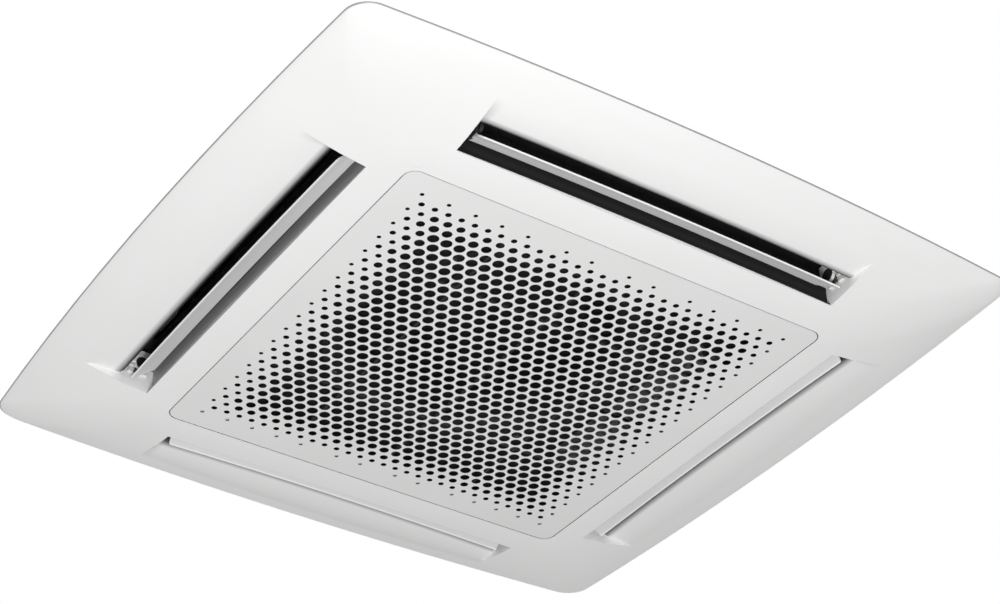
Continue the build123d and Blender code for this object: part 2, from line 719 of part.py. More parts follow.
def rivet_shape(radius, inner, outer, along):
    """A cylinder square to the +X +Y corner wall, between two distances from the middle."""
    place = Rot(0, 0, 45) * Pos((inner + outer) / 2, along, HANGER_Z - 26) * Rot(0, 90, 0)
    return place * Cylinder(radius, outer - inner)


def bracket_rivets():
    """Two rivets through each hanger angle into the casing."""
    rivets = []
    wall = CASE_CORNER / ROOT_2
    head = wall + 3
    for along in RIVET_PLACES:
        rivet = rivet_shape(2.4, wall - SHEET, head, along) + rivet_shape(5, head, head + 2, along)
        rivets += [mirrored(rivet, x, y) for x in (-1, 1) for y in (-1, 1)]
    return rivets


def coil_fins():
    """Fin block of the coil: a square ring, open at the corner that holds the pipes."""
    ring = rounded_block(COIL_OUTER, COIL_OUTER, COIL_CORNER_R, COIL_BASE, LINER_TOP)
    ring -= rounded_block(COIL_INNER, COIL_INNER, COIL_CORNER_R - 38, COIL_BASE - 1, LINER_TOP + 1)
    return ring - block(COIL_GAP, 330, COIL_GAP, 330, COIL_BASE - 1, LINER_TOP + 1)


def coil_end_plates():
    """Tube sheets on the two ends of the fin block."""
    sheet = block(COIL_INNER - 2, COIL_OUTER + 2, COIL_GAP, COIL_GAP + SHEET, COIL_BASE, LINER_TOP - 1)
    return [sheet, swapped(sheet)]


def swapped(shape):
    """Copy a piece across the diagonal between +X and +Y."""
    return mirror(shape, about=Plane((0, 0, 0), x_dir=(0, 0, 1), z_dir=(1, -1, 0)))


def return_bends():
    """Copper U-bends that join the tubes at both ends of the coil."""
    bends = []
    half_gap = BEND_PITCH / 2
    column = COIL_INNER + 9.5
    for step in range(BENDS):
        z = COIL_BASE + 18 + step * 2 * BEND_PITCH
        profile = Pos(column, COIL_GAP + SHEET, z - half_gap) * Rot(90, 0, 0) * Circle(BEND_TUBE_R)
        bend = revolve(profile, Axis((column, COIL_GAP + SHEET, z), (1, 0, 0)), 180)
        bends += [bend, swapped(bend)]
    return bends


def coil_header():
    """Gas header: a capped copper pipe with four stubs into the +X run's tube sheet."""
    header = rod(HEADER_R, 95, 226, HEADER_X, HEADER_Y)
    for z in (107, 140, 173, 206):
        stub_length = HEADER_Y - COIL_GAP - SHEET
        stub = Pos(HEADER_X, COIL_GAP + SHEET + stub_length / 2, z) * Rot(90, 0, 0)
        header += stub * Cylinder(BEND_TUBE_R, stub_length)
    return header


def gas_pipe():
    """Larger refrigerant pipe, from the header out through the casing."""
    start = HEADER_X + HEADER_R - 0.6
    pipe = Pos((start + PIPE_END_X) / 2, GAS_Y, GAS_Z) * Rot(0, 90, 0) * Cylinder(GAS_R, PIPE_END_X - start)
    bore = Pos(PIPE_END_X - 20, GAS_Y, GAS_Z) * Rot(0, 90, 0) * Cylinder(GAS_R - 1, 42)
    return pipe - rod(HEADER_R, 90, 230, HEADER_X, HEADER_Y) - bore


def distributor():
    """Brass distributor cone that feeds the capillaries."""
    cone = Pos(DISTRIBUTOR_X, DISTRIBUTOR_Y, 115) * Cone(6, 11, 30)
    return cone + rod(11, 130, 134, DISTRIBUTOR_X, DISTRIBUTOR_Y)


def capillaries():
    """Thin copper tubes from the distributor to the +Y run's tube sheet."""
    tubes = []
    for index, (height, y) in enumerate(((160, 281), (185, 286), (210, 291))):
        x = DISTRIBUTOR_X - 4 + 4 * index
        path = FilletPolyline((x, y, 134), (x, y, height), (COIL_GAP + SHEET, y, height), radius=8)
        tubes.append(sweep(Plane((x, y, 134)) * Circle(1.6), path=path))
    return tubes


def liquid_pipe():
    """Smaller refrigerant pipe, from under the distributor out through the casing."""
    path = FilletPolyline(
        (DISTRIBUTOR_X, DISTRIBUTOR_Y, 100), (DISTRIBUTOR_X, DISTRIBUTOR_Y, LIQUID_Z),
        (335, LIQUID_Y, LIQUID_Z), (PIPE_END_X, LIQUID_Y, LIQUID_Z), radius=14,
    )
    pipe = sweep(Plane((DISTRIBUTOR_X, DISTRIBUTOR_Y, 100), z_dir=(0, 0, -1)) * Circle(LIQUID_R), path=path)
    return pipe - Pos(PIPE_END_X - 20, LIQUID_Y, LIQUID_Z) * Rot(0, 90, 0) * Cylinder(LIQUID_R - 0.8, 42)


def flare_unions():
    """Brass unions on the outer ends of both pipes: a hexagon and the spigot that a flare nut screws on."""
    unions = []
    for y, z, radius, spigot_r in PIPES:
        union = extrude(RegularPolygon(radius + 6, 6), UNION_HEX) + rod(spigot_r, UNION_HEX, UNION_LENGTH)
        union -= rod(radius, -1, UNION_LENGTH + 1)
        unions.append(Pos(UNION_END_X - UNION_LENGTH, y, z) * Rot(0, 90, 0) * union)
    return unions


def pipe_grommets():
    """Rubber grommets where the pipes pass the casing."""
    rings = []
    for y, z, radius, _ in PIPES:
        place = Pos(CASE_HALF + 2, y, z) * Rot(0, 90, 0)
        neck = Cylinder(radius + 5.9, 6)
        flange = Cylinder(radius + 9, 4)
        rings.append(place * (neck + flange - Cylinder(radius, 30)))
    return rings


def drain_socket():
    """Outlet spigot for the condensate hose, clamped in the casing wall."""
    length = DRAIN_END_X - LINER_HALF_X
    place = Pos(-(DRAIN_END_X + LINER_HALF_X) / 2, DRAIN_Y, DRAIN_Z) * Rot(0, 90, 0)
    collar = Pos(-CASE_HALF - 2, DRAIN_Y, DRAIN_Z) * Rot(0, 90, 0) * Cylinder(DRAIN_R + 6, 4)
    return place * Cylinder(DRAIN_R, length) + collar - place * Cylinder(DRAIN_R - 3, length + 2)


def drain_hose():
    """Hose from the pump up to the outlet spigot."""
    path = FilletPolyline(
        (PUMP_X, PUMP_Y - PUMP_R, 88), (PUMP_X, 246, 88), (-326, DRAIN_Y, 128), (-345, DRAIN_Y, DRAIN_Z),
        (-LINER_HALF_X, DRAIN_Y, DRAIN_Z), radius=11,
    )
    return sweep(Plane((PUMP_X, PUMP_Y - PUMP_R, 88), z_dir=(0, -1, 0)) * Circle(8), path=path)


def pump_body():
    """Condensate pump: motor can, volute and the skirt that stands in the pan's well."""
    body = rod(PUMP_R, 54, 100, PUMP_X, PUMP_Y) + rod(12, 22, 54, PUMP_X, PUMP_Y)
    body -= rod(9.5, 20, 50, PUMP_X, PUMP_Y)
    return body - rod(2 + RUNNING_GAP, 49, 80, PUMP_X, PUMP_Y)


def pump_impeller():
    """Pump shaft with four small paddles."""
    impeller = rod(2, 26, 78, PUMP_X, PUMP_Y)
    for angle in range(0, 180, 90):
        impeller += Pos(PUMP_X, PUMP_Y, 38) * Rot(0, 0, angle) * Box(16, 1.6, 20)
    return impeller


def pump_bracket():
    """Plate that hangs the pump and the float guide from the casing's corner."""
    plate = Pos(-330, 330, 101.5) * Rot(0, 0, 45) * Box(60, 50, 3)
    plate += block(FLOAT_X - 8, FLOAT_X + 8, FLOAT_Y - 8, FLOAT_Y + 40, 100, 103)
    corner = LINER_CORNER / ROOT_2
    plate -= Rot(0, 0, 135) * (Pos(corner + 50, 0, 100) * Box(100, 300, 40))
    flange = Rot(0, 0, 135) * (Pos(corner - 1.5, 0, 115) * Box(3, 50, 30))
    return plate + flange


def float_guide():
    """Stem and stop of the overflow switch."""
    guide = rod(3, 20, 100, FLOAT_X, FLOAT_Y) + rod(8, 60, 100, FLOAT_X, FLOAT_Y)
    return guide + rod(5, 18, 21, FLOAT_X, FLOAT_Y)


def float_ring():
    """Float that rides up the stem when the pan fills."""
    return tube(10, 3 + RUNNING_GAP, 21.5, 37, FLOAT_X, FLOAT_Y)


def bell_mouth():
    """Air inlet ring: a flared throat with a flange under the drain pan."""
    bend_z = BELL_FLARE - BELL_WALL
    profile = [(BELL_R, PAN_TOP), (BELL_R, bend_z)]
    for step in range(1, 9):
        angle = step * pi / 16
        profile.append((BELL_R + BELL_FLARE * (1 - cos(angle)), bend_z - BELL_FLARE * sin(angle)))
    profile += [(BELL_FLANGE_R, -BELL_WALL), (BELL_FLANGE_R, 0)]
    for step in range(8, 0, -1):
        angle = step * pi / 16
        profile.append((BELL_R + BELL_WALL + bend_z * (1 - cos(angle)), bend_z - bend_z * sin(angle)))
    profile += [(BELL_R + BELL_WALL, bend_z), (BELL_R + BELL_WALL, PAN_TOP)]
    points = [(x, 0, z) for x, z in profile]
    ring = revolve(make_face(Polyline(points, close=True)), Axis.Z, 360)
    for x in (-1, 1):
        for y in (-1, 1):
            ring -= rod(2.3, -5, 1, x * BELL_SCREW, y * BELL_SCREW)
    return ring


def bell_screws():
    screws = []
    for x in (-1, 1):
        for y in (-1, 1):
            screws.append(screw(x * BELL_SCREW, y * BELL_SCREW, -BELL_WALL, 13, 2, 4, 2.4))
    return screws


def fan_impeller():
    """Backward-curved centrifugal fan: top disc with a raised hub, inlet shroud and swept blades."""
    disc = rod(FAN_R, FAN_TOP - 3, FAN_TOP) - rod(62, FAN_TOP - 4, FAN_TOP + 1)
    hub_profile = [
        (SHAFT_R, 160), (16, 160), (18, 166), (64, FAN_TOP - 3), (64, FAN_TOP), (60, FAN_TOP),
        (14, 170), (SHAFT_R, 170),
    ]
    hub = revolve(make_face(Polyline([(x, 0, z) for x, z in hub_profile], close=True)), Axis.Z, 360)
    shroud_profile = [
        (INLET_R, FAN_BASE), (INLET_R + 3, FAN_BASE), (185, 58), (205, 68), (FAN_R, 73),
        (FAN_R, 76), (203, 71), (182, 60), (INLET_R, FAN_BASE + 6),
    ]
    shroud = revolve(make_face(Polyline([(x, 0, z) for x, z in shroud_profile], close=True)), Axis.Z, 360)
    fan = disc + hub + shroud
    for index in range(FAN_BLADES):
        fan += Rot(0, 0, index * 360 / FAN_BLADES) * fan_blade()
    return fan


def fan_blade():
    """One blade, swept back from the inner circle to the rim and trimmed to the shroud."""
    outer = ThreePointArc((150, 0), (196, 22), (221, 70))
    inner = ThreePointArc((222.5, 67), (198, 19), (152, -4))
    edge = [outer, Line((221, 70), (222.5, 67)), inner, Line((152, -4), (150, 0))]
    blade = extrude(Pos(0, 0, 60) * make_face(edge), FAN_TOP - 1.5 - 60)
    tip_r, top = FAN_R - 1, FAN_TOP - 1
    limit_profile = [(140, 66), (172, 51), (182, 58.5), (203, 69.3), (tip_r, 74.2), (tip_r, top), (140, top)]
    limit = revolve(make_face(Polyline([(x, 0, z) for x, z in limit_profile], close=True)), Axis.Z, 360)
    return blade & limit


def motor_rotor():
    """Rotor core on its steel shaft, which is threaded at the bottom for the fan nut."""
    shaft = rod(SHAFT_R, 158, 232) + rod(4, 146, 158)
    return [shaft, tube(44, SHAFT_R, MOTOR_BASE + 12, MOTOR_TOP - 12)]


def fan_nut():
    """Nut and washer that hold the fan on its shaft."""
    nut = Pos(0, 0, 149) * extrude(RegularPolygon(7.5, 6), 7) - rod(4, 140, 160)
    return [nut, tube(13, 4, 156, 158)]


def motor_casing():
    """Motor can with a bearing boss at the bottom and three mounting ears."""
    can = rod(MOTOR_R, MOTOR_BASE, MOTOR_TOP) - rod(MOTOR_R - 3, MOTOR_BASE + 4, MOTOR_TOP - 4)
    can += rod(14, MOTOR_BASE, MOTOR_BASE + 9) + rod(14, MOTOR_TOP - 10, MOTOR_TOP)
    for x, y in motor_bolt_places():
        can += rod(9, MOTOR_TOP - 4, MOTOR_TOP, x, y) + motor_ear(x, y)
        can -= rod(3, MOTOR_TOP - 6, MOTOR_TOP + 2, x, y)
    return can - rod(SHAFT_R + RUNNING_GAP, MOTOR_BASE - 1, 233)


def motor_ear(x, y):
    """Flat ear between the motor can and a bolt."""
    angle = degrees(atan2(y, x))
    return Rot(0, 0, angle) * block(MOTOR_R - 8, MOTOR_BOLT_R, -9, 9, MOTOR_TOP - 4, MOTOR_TOP)


def motor_bolt_places():
    """Three bolts equally spaced round the motor."""
    angles = [radians(30 + 120 * index) for index in range(3)]
    return [(MOTOR_BOLT_R * cos(angle), MOTOR_BOLT_R * sin(angle)) for angle in angles]


def motor_stator():
    return tube(MOTOR_R - 3, 45, MOTOR_BASE + 12, MOTOR_TOP - 12)


def motor_bushes():
    """Rubber bushes between the motor ears and the casing lid."""
    return [tube(9, 3, MOTOR_TOP, CASE_TOP, x, y) for x, y in motor_bolt_places()]


def motor_bolts():
    """Bolts up through the ears, bushes and lid, with their nuts on top of the lid."""
    bolts = []
    for x, y in motor_bolt_places():
        bolt = rod(2.9, MOTOR_TOP - 4, CASE_TOP + 12, x, y) + rod(5.5, MOTOR_TOP - 8, MOTOR_TOP - 4, x, y)
        nut = Pos(x, y, CASE_TOP + SHEET) * extrude(RegularPolygon(6, 6), 5)
        bolts.append(bolt + nut)
    return bolts


def control_box():
    """Sheet steel tray, open downwards, that hangs under the drain pan in the intake."""
    box = block(BOX_X0, BOX_X1, -BOX_HALF_Y, BOX_HALF_Y, BOX_Z0, BOX_Z1)
    box -= block(BOX_X0 + 1, BOX_X1 - 1, -BOX_HALF_Y + 1, BOX_HALF_Y - 1, BOX_Z0 - 1, BOX_Z1 - 1)
    return box - Pos(BOX_MIDDLE_X, -BOX_HALF_Y, GLAND_Z) * Rot(90, 0, 0) * Cylinder(GLAND_R, 6)


def control_box_lid():
    return block(BOX_X0, BOX_X1, -BOX_HALF_Y, BOX_HALF_Y, BOX_Z0 - 1, BOX_Z0)


def lid_screws():
    screws = []
    for x in (BOX_X0 + BOX_INSET, BOX_X1 - BOX_INSET):
        for y in (-BOX_HALF_Y + BOX_INSET, BOX_HALF_Y - BOX_INSET):
            screws.append(rod(3.5, BOX_Z0 - 3, BOX_Z0 - 1, x, y))
    return screws


def board_standoffs():
    posts = []
    for x in (BOX_X0 + BOX_INSET, BOX_X1 - BOX_INSET):
        for y in (-BOARD_HALF_Y + 6, BOARD_HALF_Y - 6):
            posts.append(rod(2.5, BOARD_Z + BOARD_THICKNESS, BOX_Z1 - 1, x, y))
    return posts


def circuit_board():
    return block(BOX_X0 + 4, BOX_X1 - 4, -BOARD_HALF_Y, BOARD_HALF_Y, BOARD_Z, BOARD_Z + BOARD_THICKNESS)


def board_parts():
    """Transformer, relay and two capacitors under the board."""
    return [
        block(214, 240, 70, 104, BOARD_Z - 17, BOARD_Z),
        block(216, 234, 34, 54, BOARD_Z - 14, BOARD_Z),
        rod(8, BOARD_Z - 18, BOARD_Z, 222, 10),
        rod(8, BOARD_Z - 18, BOARD_Z, 222, -14),
        block(214, 244, -90, -40, BOARD_Z - 6, BOARD_Z),
    ]


def terminal_block():
    """Screw terminals for the supply, under the drain pan beside the control box."""
    body = block(212, 246, -206, -166, -16, 0)
    for y in TERMINAL_Y:
        body -= rod(3.2, -17, -9, BOX_MIDDLE_X, y)
    return body


def terminal_screws():
    return [rod(3.1, -12, -9, BOX_MIDDLE_X, y) for y in TERMINAL_Y]


def cable_gland():
    """Grommet in the control box wall for the supply leads."""
    place = Pos(BOX_MIDDLE_X, -BOX_HALF_Y, GLAND_Z) * Rot(90, 0, 0)
    collar = Pos(BOX_MIDDLE_X, -BOX_HALF_Y - 2, GLAND_Z) * Rot(90, 0, 0) * Cylinder(GLAND_R + 2, 4)
    return place * Cylinder(GLAND_R, 4) + collar - place * Cylinder(GLAND_R - 2, 20)


def air_sensor():
    """Return air thermistor in its clip under the drain pan."""
    clip = block(-168, -144, -168, -160, -4, 0)
    return clip + Pos(-156, -164, -6) * Rot(0, 90, 0) * Cylinder(2.5, 20)


def electrics():
    """Everything fixed in or beside the control box, apart from the board itself."""
    supply = [terminal_block(), cable_gland()] + terminal_screws()
    return lid_screws() + board_standoffs() + board_parts() + supply


PIECES = {
    "panel_frame": panel_frame,
    "grille_plate": grille_plate,
    "grille_frame": grille_frame,
    "grille_hinge_pins": hinge_pins,
    "filter_frame": filter_frame,
    "filter_mesh": filter_mesh,
    "latch_strike_plates": strike_plates,
    "latch_bodies": latch_bodies,
    "flap_brackets": flap_brackets,
    "flap_bushes": flap_bushes,
    "flap_motors": flap_motors,
    "outlet_liners": outlet_liners,
    "rim_gasket": rim_gasket,
    "outlet_gaskets": outlet_gaskets,
    "panel_screws": panel_screws,
    "drain_pan": drain_pan,
    "drain_plug": drain_plug,
    "chassis_shell": chassis_shell,
    "top_plate": top_plate,
    "casing_liner": casing_liner,
    "top_insulation": top_insulation,
    "hanger_brackets": hanger_brackets,
    "bracket_rivets": bracket_rivets,
    "coil_fins": coil_fins,
    "coil_end_plates": coil_end_plates,
    "coil_return_bends": return_bends,
    "coil_header": coil_header,
    "gas_pipe": gas_pipe,
    "liquid_pipe": liquid_pipe,
    "distributor": distributor,
    "capillary_tubes": capillaries,
    "flare_unions": flare_unions,
    "pipe_grommets": pipe_grommets,
    "drain_socket": drain_socket,
    "drain_hose": drain_hose,
    "pump_body": pump_body,
    "pump_impeller": pump_impeller,
    "pump_bracket": pump_bracket,
    "float_guide": float_guide,
    "float_ring": float_ring,
    "bell_mouth": bell_mouth,
    "bell_mouth_screws": bell_screws,
    "fan_impeller": fan_impeller,
    "fan_nut": fan_nut,
    "motor_rotor": motor_rotor,
    "motor_stator": motor_stator,
    "motor_casing": motor_casing,
    "motor_bushes": motor_bushes,
    "motor_bolts": motor_bolts,
    "control_box": control_box,
    "control_box_lid": control_box_lid,
    "circuit_board": circuit_board,
    "electrics": electrics,
    "air_sensor": air_sensor,
}


def save(name, shape):
    """Write one node, lowered so that the hanger slots' centre is the origin."""
    pieces = shape if isinstance(shape, list) else [shape]
    solids = [solid for piece in pieces for solid in piece.solids()]
    export_step(Pos(0, 0, -HANGER_Z) * Compound(children=solids), f"parts/{name}.step")


def main():
    os.makedirs("parts", exist_ok=True)
    for name, make in PIECES.items():
        save(name, make())
    for side, letter in enumerate("abcd"):
        save(f"flap_{letter}", flap(side))
    for y, letter in ((-1, "a"), (1, "b")):
        save(f"latch_plunger_{letter}", latch_plunger(y))


main()
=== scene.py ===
"""Ceiling cassette air conditioner seen from below: its looks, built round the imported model.

Every CAD body stays where it is. The panel, the perforated plate, the filter's net and the coil's fins
are made here in finer form, and every other CAD piece is smoothed and given the finish of its material.
"""

import json
import math

import bmesh
import bpy
from bpy.props import FloatProperty, FloatVectorProperty, IntProperty, PointerProperty
from mathutils import Matrix, Vector


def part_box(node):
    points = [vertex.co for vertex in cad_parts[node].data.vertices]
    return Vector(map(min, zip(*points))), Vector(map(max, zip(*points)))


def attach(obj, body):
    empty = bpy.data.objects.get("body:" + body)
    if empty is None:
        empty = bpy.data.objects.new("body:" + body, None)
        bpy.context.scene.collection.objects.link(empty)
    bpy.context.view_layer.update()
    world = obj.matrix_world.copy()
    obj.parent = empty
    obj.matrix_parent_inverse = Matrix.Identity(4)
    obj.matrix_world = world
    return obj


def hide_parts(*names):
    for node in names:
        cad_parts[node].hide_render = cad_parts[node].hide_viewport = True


bl_info = {
    "name": "Ceiling Cassette",
    "version": (1, 0, 0),
    "blender": (4, 5, 0),
    "location": "View3D > Sidebar > Cassette",
    "description": "Builds the looks of a ceiling cassette air conditioner round its packed model",
    "category": "Object",
}

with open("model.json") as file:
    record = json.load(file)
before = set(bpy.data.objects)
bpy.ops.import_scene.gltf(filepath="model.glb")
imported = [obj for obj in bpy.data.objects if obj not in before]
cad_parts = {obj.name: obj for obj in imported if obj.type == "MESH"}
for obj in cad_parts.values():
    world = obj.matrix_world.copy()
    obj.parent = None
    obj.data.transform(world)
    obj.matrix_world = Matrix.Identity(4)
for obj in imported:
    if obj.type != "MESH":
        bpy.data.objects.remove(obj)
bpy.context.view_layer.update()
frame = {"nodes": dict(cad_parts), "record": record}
NODES = frame["nodes"]
RECORD = frame["record"]

FACE_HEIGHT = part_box("grille_plate")[0].z
CEILING_HEIGHT = -0.170
SLOT_COLOURS = {entry["slot"]: entry["base_color"] for entry in RECORD["materials"]}
SLOT_OF_NODE = {entry["node"]: entry["material_slot"] for entry in RECORD["subparts"]}

# Form of the panel's lower side in metres, as the CAD source has it
PANEL_DROP = 0.040
FACE_HALF = 0.2935
PANEL_RUN = 0.1815
FACE_BOW = 0.0003
RIM_BOW = 0.017
SADDLE = 0.030
FACE_CORNER_R = 0.0165
RIM_CORNER_R = 0.031
CORNER_SWELL = 0.140

# How far out the flaps' edges and the outlets' outer lips lie, for the pair across X and the pair across Y
FLAP_EDGES = (0.3602, 0.3677)
LIP_PLACES = (0.3700, 0.3775)
OUTLET_WIDTH = 0.0370

# Where the outlets' painted shades end along them, where the flaps' blades end, and the depth and the height
# above the face at which the painted shades on the inner walls of two throats start
OUTLET_END = (0.2647, 0.2640)
FLAP_END = 0.2495
THROAT_SHADES = ((0.0003, 0.0006), (0.0070, 0.0068))

WELD = 0.000002


# ---------------------------------------------------------------- settings


class CassettePanelSettings(bpy.types.PropertyGroup):
    """Ceiling panel."""

    colour: FloatVectorProperty(
        name="Panel Colour",
        description="Colour of the moulded ceiling panel",
        subtype="COLOR",
        size=3,
        min=0.0,
        max=1.0,
        default=SLOT_COLOURS["panel_plastic"],
    )
    grain: FloatProperty(
        name="Grain Depth",
        description="Depth of the fine moulded grain on the panel",
        unit="LENGTH",
        default=0.00004,
        min=0.0,
        max=0.001,
    )
    crease_angle: FloatProperty(
        name="Crease Angle",
        description="Edges sharper than this stay crisp on every piece",
        subtype="ANGLE",
        default=math.radians(32),
    )


class CassetteGrilleSettings(bpy.types.PropertyGroup):
    """Perforated plate and filter."""

    colour: FloatVectorProperty(
        name="Grille Colour",
        description="Colour of the perforated intake grille",
        subtype="COLOR",
        size=3,
        min=0.0,
        max=1.0,
        default=SLOT_COLOURS["grille_plastic"],
    )
    hole_sides: IntProperty(
        name="Hole Sides",
        description="Number of straight sides that each round hole is drawn with",
        default=20,
        min=8,
        max=48,
    )
    column_pitch: FloatProperty(
        name="Column Pitch",
        description="Distance between neighbouring holes of a row",
        unit="LENGTH",
        default=0.01776,
    )
    row_pitch: FloatProperty(
        name="Row Pitch",
        description="Distance between neighbouring rows of holes",
        unit="LENGTH",
        default=0.015286,
    )
    sheet: FloatProperty(
        name="Field Thickness",
        description="Thickness of the plate across the perforated field",
        unit="LENGTH",
        default=0.0012,
    )
    net_pitch: FloatProperty(
        name="Net Pitch",
        description="Distance between neighbouring strands of the filter's net",
        unit="LENGTH",
        default=0.0022,
    )


class CassetteFlapSettings(bpy.types.PropertyGroup):
    """Air flaps."""

    colour: FloatVectorProperty(
        name="Flap Colour",
        description="Colour of the air flaps",
        subtype="COLOR",
        size=3,
        min=0.0,
        max=1.0,
        default=SLOT_COLOURS["flap_plastic"],
    )


class CassetteCoilSettings(bpy.types.PropertyGroup):
    """Coil."""

    fin_pitch: FloatProperty(
        name="Fin Pitch",
        description="Distance between neighbouring fins of the coil",
        unit="LENGTH",
        default=0.0026,
    )
    fin_thickness: FloatProperty(
        name="Fin Thickness",
        description="Thickness of one fin, drawn a little thicker than real foil",
        unit="LENGTH",
        default=0.0003,
    )


class CassetteStageSettings(bpy.types.PropertyGroup):
    """Camera and light."""

    lens: FloatProperty(
        name="Lens",
        description="Focal length of the photograph's view on a 36 mm wide sensor",
        default=82.48,
        min=10.0,
    )
    key_power: FloatProperty(
        name="Key Light",
        description="Power of the large soft lamp below the near side",
        subtype="POWER",
        default=36.5,
    )
    fill: FloatProperty(
        name="Room Light",
        description="Brightness of the even light from all round",
        default=0.36,
    )


# ---------------------------------------------------------------- node helpers


def connect(tree, node, inputs):
    """Fill a node's inputs with numbers, or link them to sockets."""
    for key, value in inputs.items():
        if isinstance(value, bpy.types.NodeSocket):
            tree.links.new(value, node.inputs[key])
        else:
            node.inputs[key].default_value = value


def node_of(tree, kind, inputs=None, **attributes):
    """Add a node, set its attributes, and fill or link its inputs."""
    node = tree.nodes.new(kind)
    for key, value in attributes.items():
        setattr(node, key, value)
    connect(tree, node, inputs or {})
    return node


def math_of(tree, operation, first, second=0.0):
    """Value socket of a Math node on two sockets or numbers."""
    return node_of(tree, "ShaderNodeMath", {0: first, 1: second}, operation=operation).outputs[0]


def emptied(block):
    """Node tree of a material or world, with every node taken out."""
    block.use_nodes = True
    block.node_tree.nodes.clear()
    return block.node_tree


# ---------------------------------------------------------------- materials


def new_material(name):
    """Tree and shader of a plain material, made anew in the one of that name that came with the model."""
    tree = emptied(bpy.data.materials.get(name) or bpy.data.materials.new(name))
    shader = node_of(tree, "ShaderNodeBsdfPrincipled")
    node_of(tree, "ShaderNodeOutputMaterial", {"Surface": shader.outputs["BSDF"]})
    return tree, shader


def object_place(tree):
    """Socket of the Object coordinates."""
    return node_of(tree, "ShaderNodeTexCoord").outputs["Object"]


def object_noise(tree, scale, detail=3.0, stretch=(1.0, 1.0, 1.0)):
    """Value socket of noise on Object coordinates."""
    mapping = node_of(tree, "ShaderNodeMapping", {"Vector": object_place(tree), "Scale": stretch})
    return node_of(tree, "ShaderNodeTexNoise", {
        "Vector": mapping.outputs["Vector"], "Scale": scale, "Detail": detail,
    }).outputs["Fac"]


def spread(tree, value, low, high, start=0.3, end=0.7):
    """Map a value from start..end onto low..high."""
    return node_of(tree, "ShaderNodeMapRange", {
        "Value": value, "From Min": start, "From Max": end, "To Min": low, "To Max": high,
    }).outputs["Result"]


def blend_colours(tree, factor, first, second):
    """Colour socket between two colours, the first of which may be a socket."""
    start = first if isinstance(first, bpy.types.NodeSocket) else (*first, 1.0)
    return node_of(tree, "ShaderNodeMix", {"Factor": factor, "A": start, "B": (*second, 1.0)},
                   data_type="RGBA").outputs["Result"]


def add_bump(tree, shader, height, depth):
    bump = node_of(tree, "ShaderNodeBump", {"Strength": 1.0, "Distance": depth, "Height": height})
    connect(tree, shader, {"Normal": bump.outputs["Normal"]})


def shade(colour, factor):
    return tuple(min(1.0, channel * factor) for channel in colour)


def moulded_plastic(name, colour, roughness=0.45, grain=0.00004, mottle=0.03):
    """Moulded plastic: faint cloudy tone, fine grain, uneven sheen."""
    tree, shader = new_material(name)
    cloud = spread(tree, object_noise(tree, 9.0), 0.0, 1.0)
    fine = object_noise(tree, 900.0, 2.0)
    connect(tree, shader, {
        "Base Color": blend_colours(tree, cloud, shade(colour, 1 - mottle), colour),
        "Roughness": spread(tree, fine, roughness - 0.05, roughness + 0.05),
    })
    add_bump(tree, shader, fine, grain)
    return tree, shader


def galvanised_sheet(name, colour):
    """Zinc-coated sheet with its crystal spangle."""
    tree, shader = new_material(name)
    cells = node_of(tree, "ShaderNodeTexVoronoi", {"Vector": object_place(tree), "Scale": 70.0})
    crystal = node_of(tree, "ShaderNodeSeparateColor", {"Color": cells.outputs["Color"]}).outputs
    connect(tree, shader, {
        "Base Color": blend_colours(tree, crystal["Red"], shade(colour, 0.86), shade(colour, 1.08)),
        "Roughness": spread(tree, crystal["Green"], 0.32, 0.52, 0.0, 1.0),
        "Metallic": 1.0,
    })
    add_bump(tree, shader, object_noise(tree, 60.0, 4.0, (1.0, 1.0, 6.0)), 0.00006)


def bare_metal(name, colour, roughness=0.3, stretch=(1.0, 1.0, 1.0), tarnish=0.75):
    """Bare metal with drawn lines and a little tarnish."""
    tree, shader = new_material(name)
    patches = object_noise(tree, 25.0, 5.0)
    dull = spread(tree, patches, 0.0, 1.0, 0.4, 0.75)
    connect(tree, shader, {
        "Base Color": blend_colours(tree, dull, colour, shade(colour, tarnish)),
        "Roughness": spread(tree, patches, roughness, roughness + 0.18),
        "Metallic": 1.0,
    })
    add_bump(tree, shader, object_noise(tree, 700.0, 2.0, stretch), 0.00002)


def beaded_foam(name, colour, bead=260.0, depth=0.0003):
    """Expanded foam: fused beads with dark joints."""
    tree, shader = new_material(name)
    beads = node_of(tree, "ShaderNodeTexVoronoi", {"Vector": object_place(tree), "Scale": bead},
                    feature="DISTANCE_TO_EDGE")
    joint = spread(tree, beads.outputs["Distance"], 0.0, 1.0, 0.0, 0.12)
    connect(tree, shader, {
        "Base Color": blend_colours(tree, joint, shade(colour, 0.7), colour),
        "Roughness": 0.8,
    })
    add_bump(tree, shader, joint, depth)


def soft_rubber(name, colour, roughness=0.6):
    """Rubber or soft hose with a light bloom on it."""
    tree, shader = new_material(name)
    dust = object_noise(tree, 40.0, 5.0)
    bloom = tuple(channel + 0.03 for channel in colour)
    connect(tree, shader, {
        "Base Color": blend_colours(tree, spread(tree, dust, 0.0, 1.0, 0.45, 0.8), colour, bloom),
        "Roughness": spread(tree, dust, roughness - 0.08, roughness + 0.12),
    })
    add_bump(tree, shader, object_noise(tree, 1500.0, 2.0), 0.00003)


def painted_sheet(name, colour, roughness=0.4):
    """Powder-coated steel with a light orange peel."""
    tree, shader = new_material(name)
    cloud = object_noise(tree, 12.0)
    connect(tree, shader, {
        "Base Color": blend_colours(tree, spread(tree, cloud, 0.0, 1.0), shade(colour, 0.94), colour),
        "Roughness": spread(tree, cloud, roughness, roughness + 0.08),
    })
    add_bump(tree, shader, object_noise(tree, 420.0, 2.0), 0.00005)


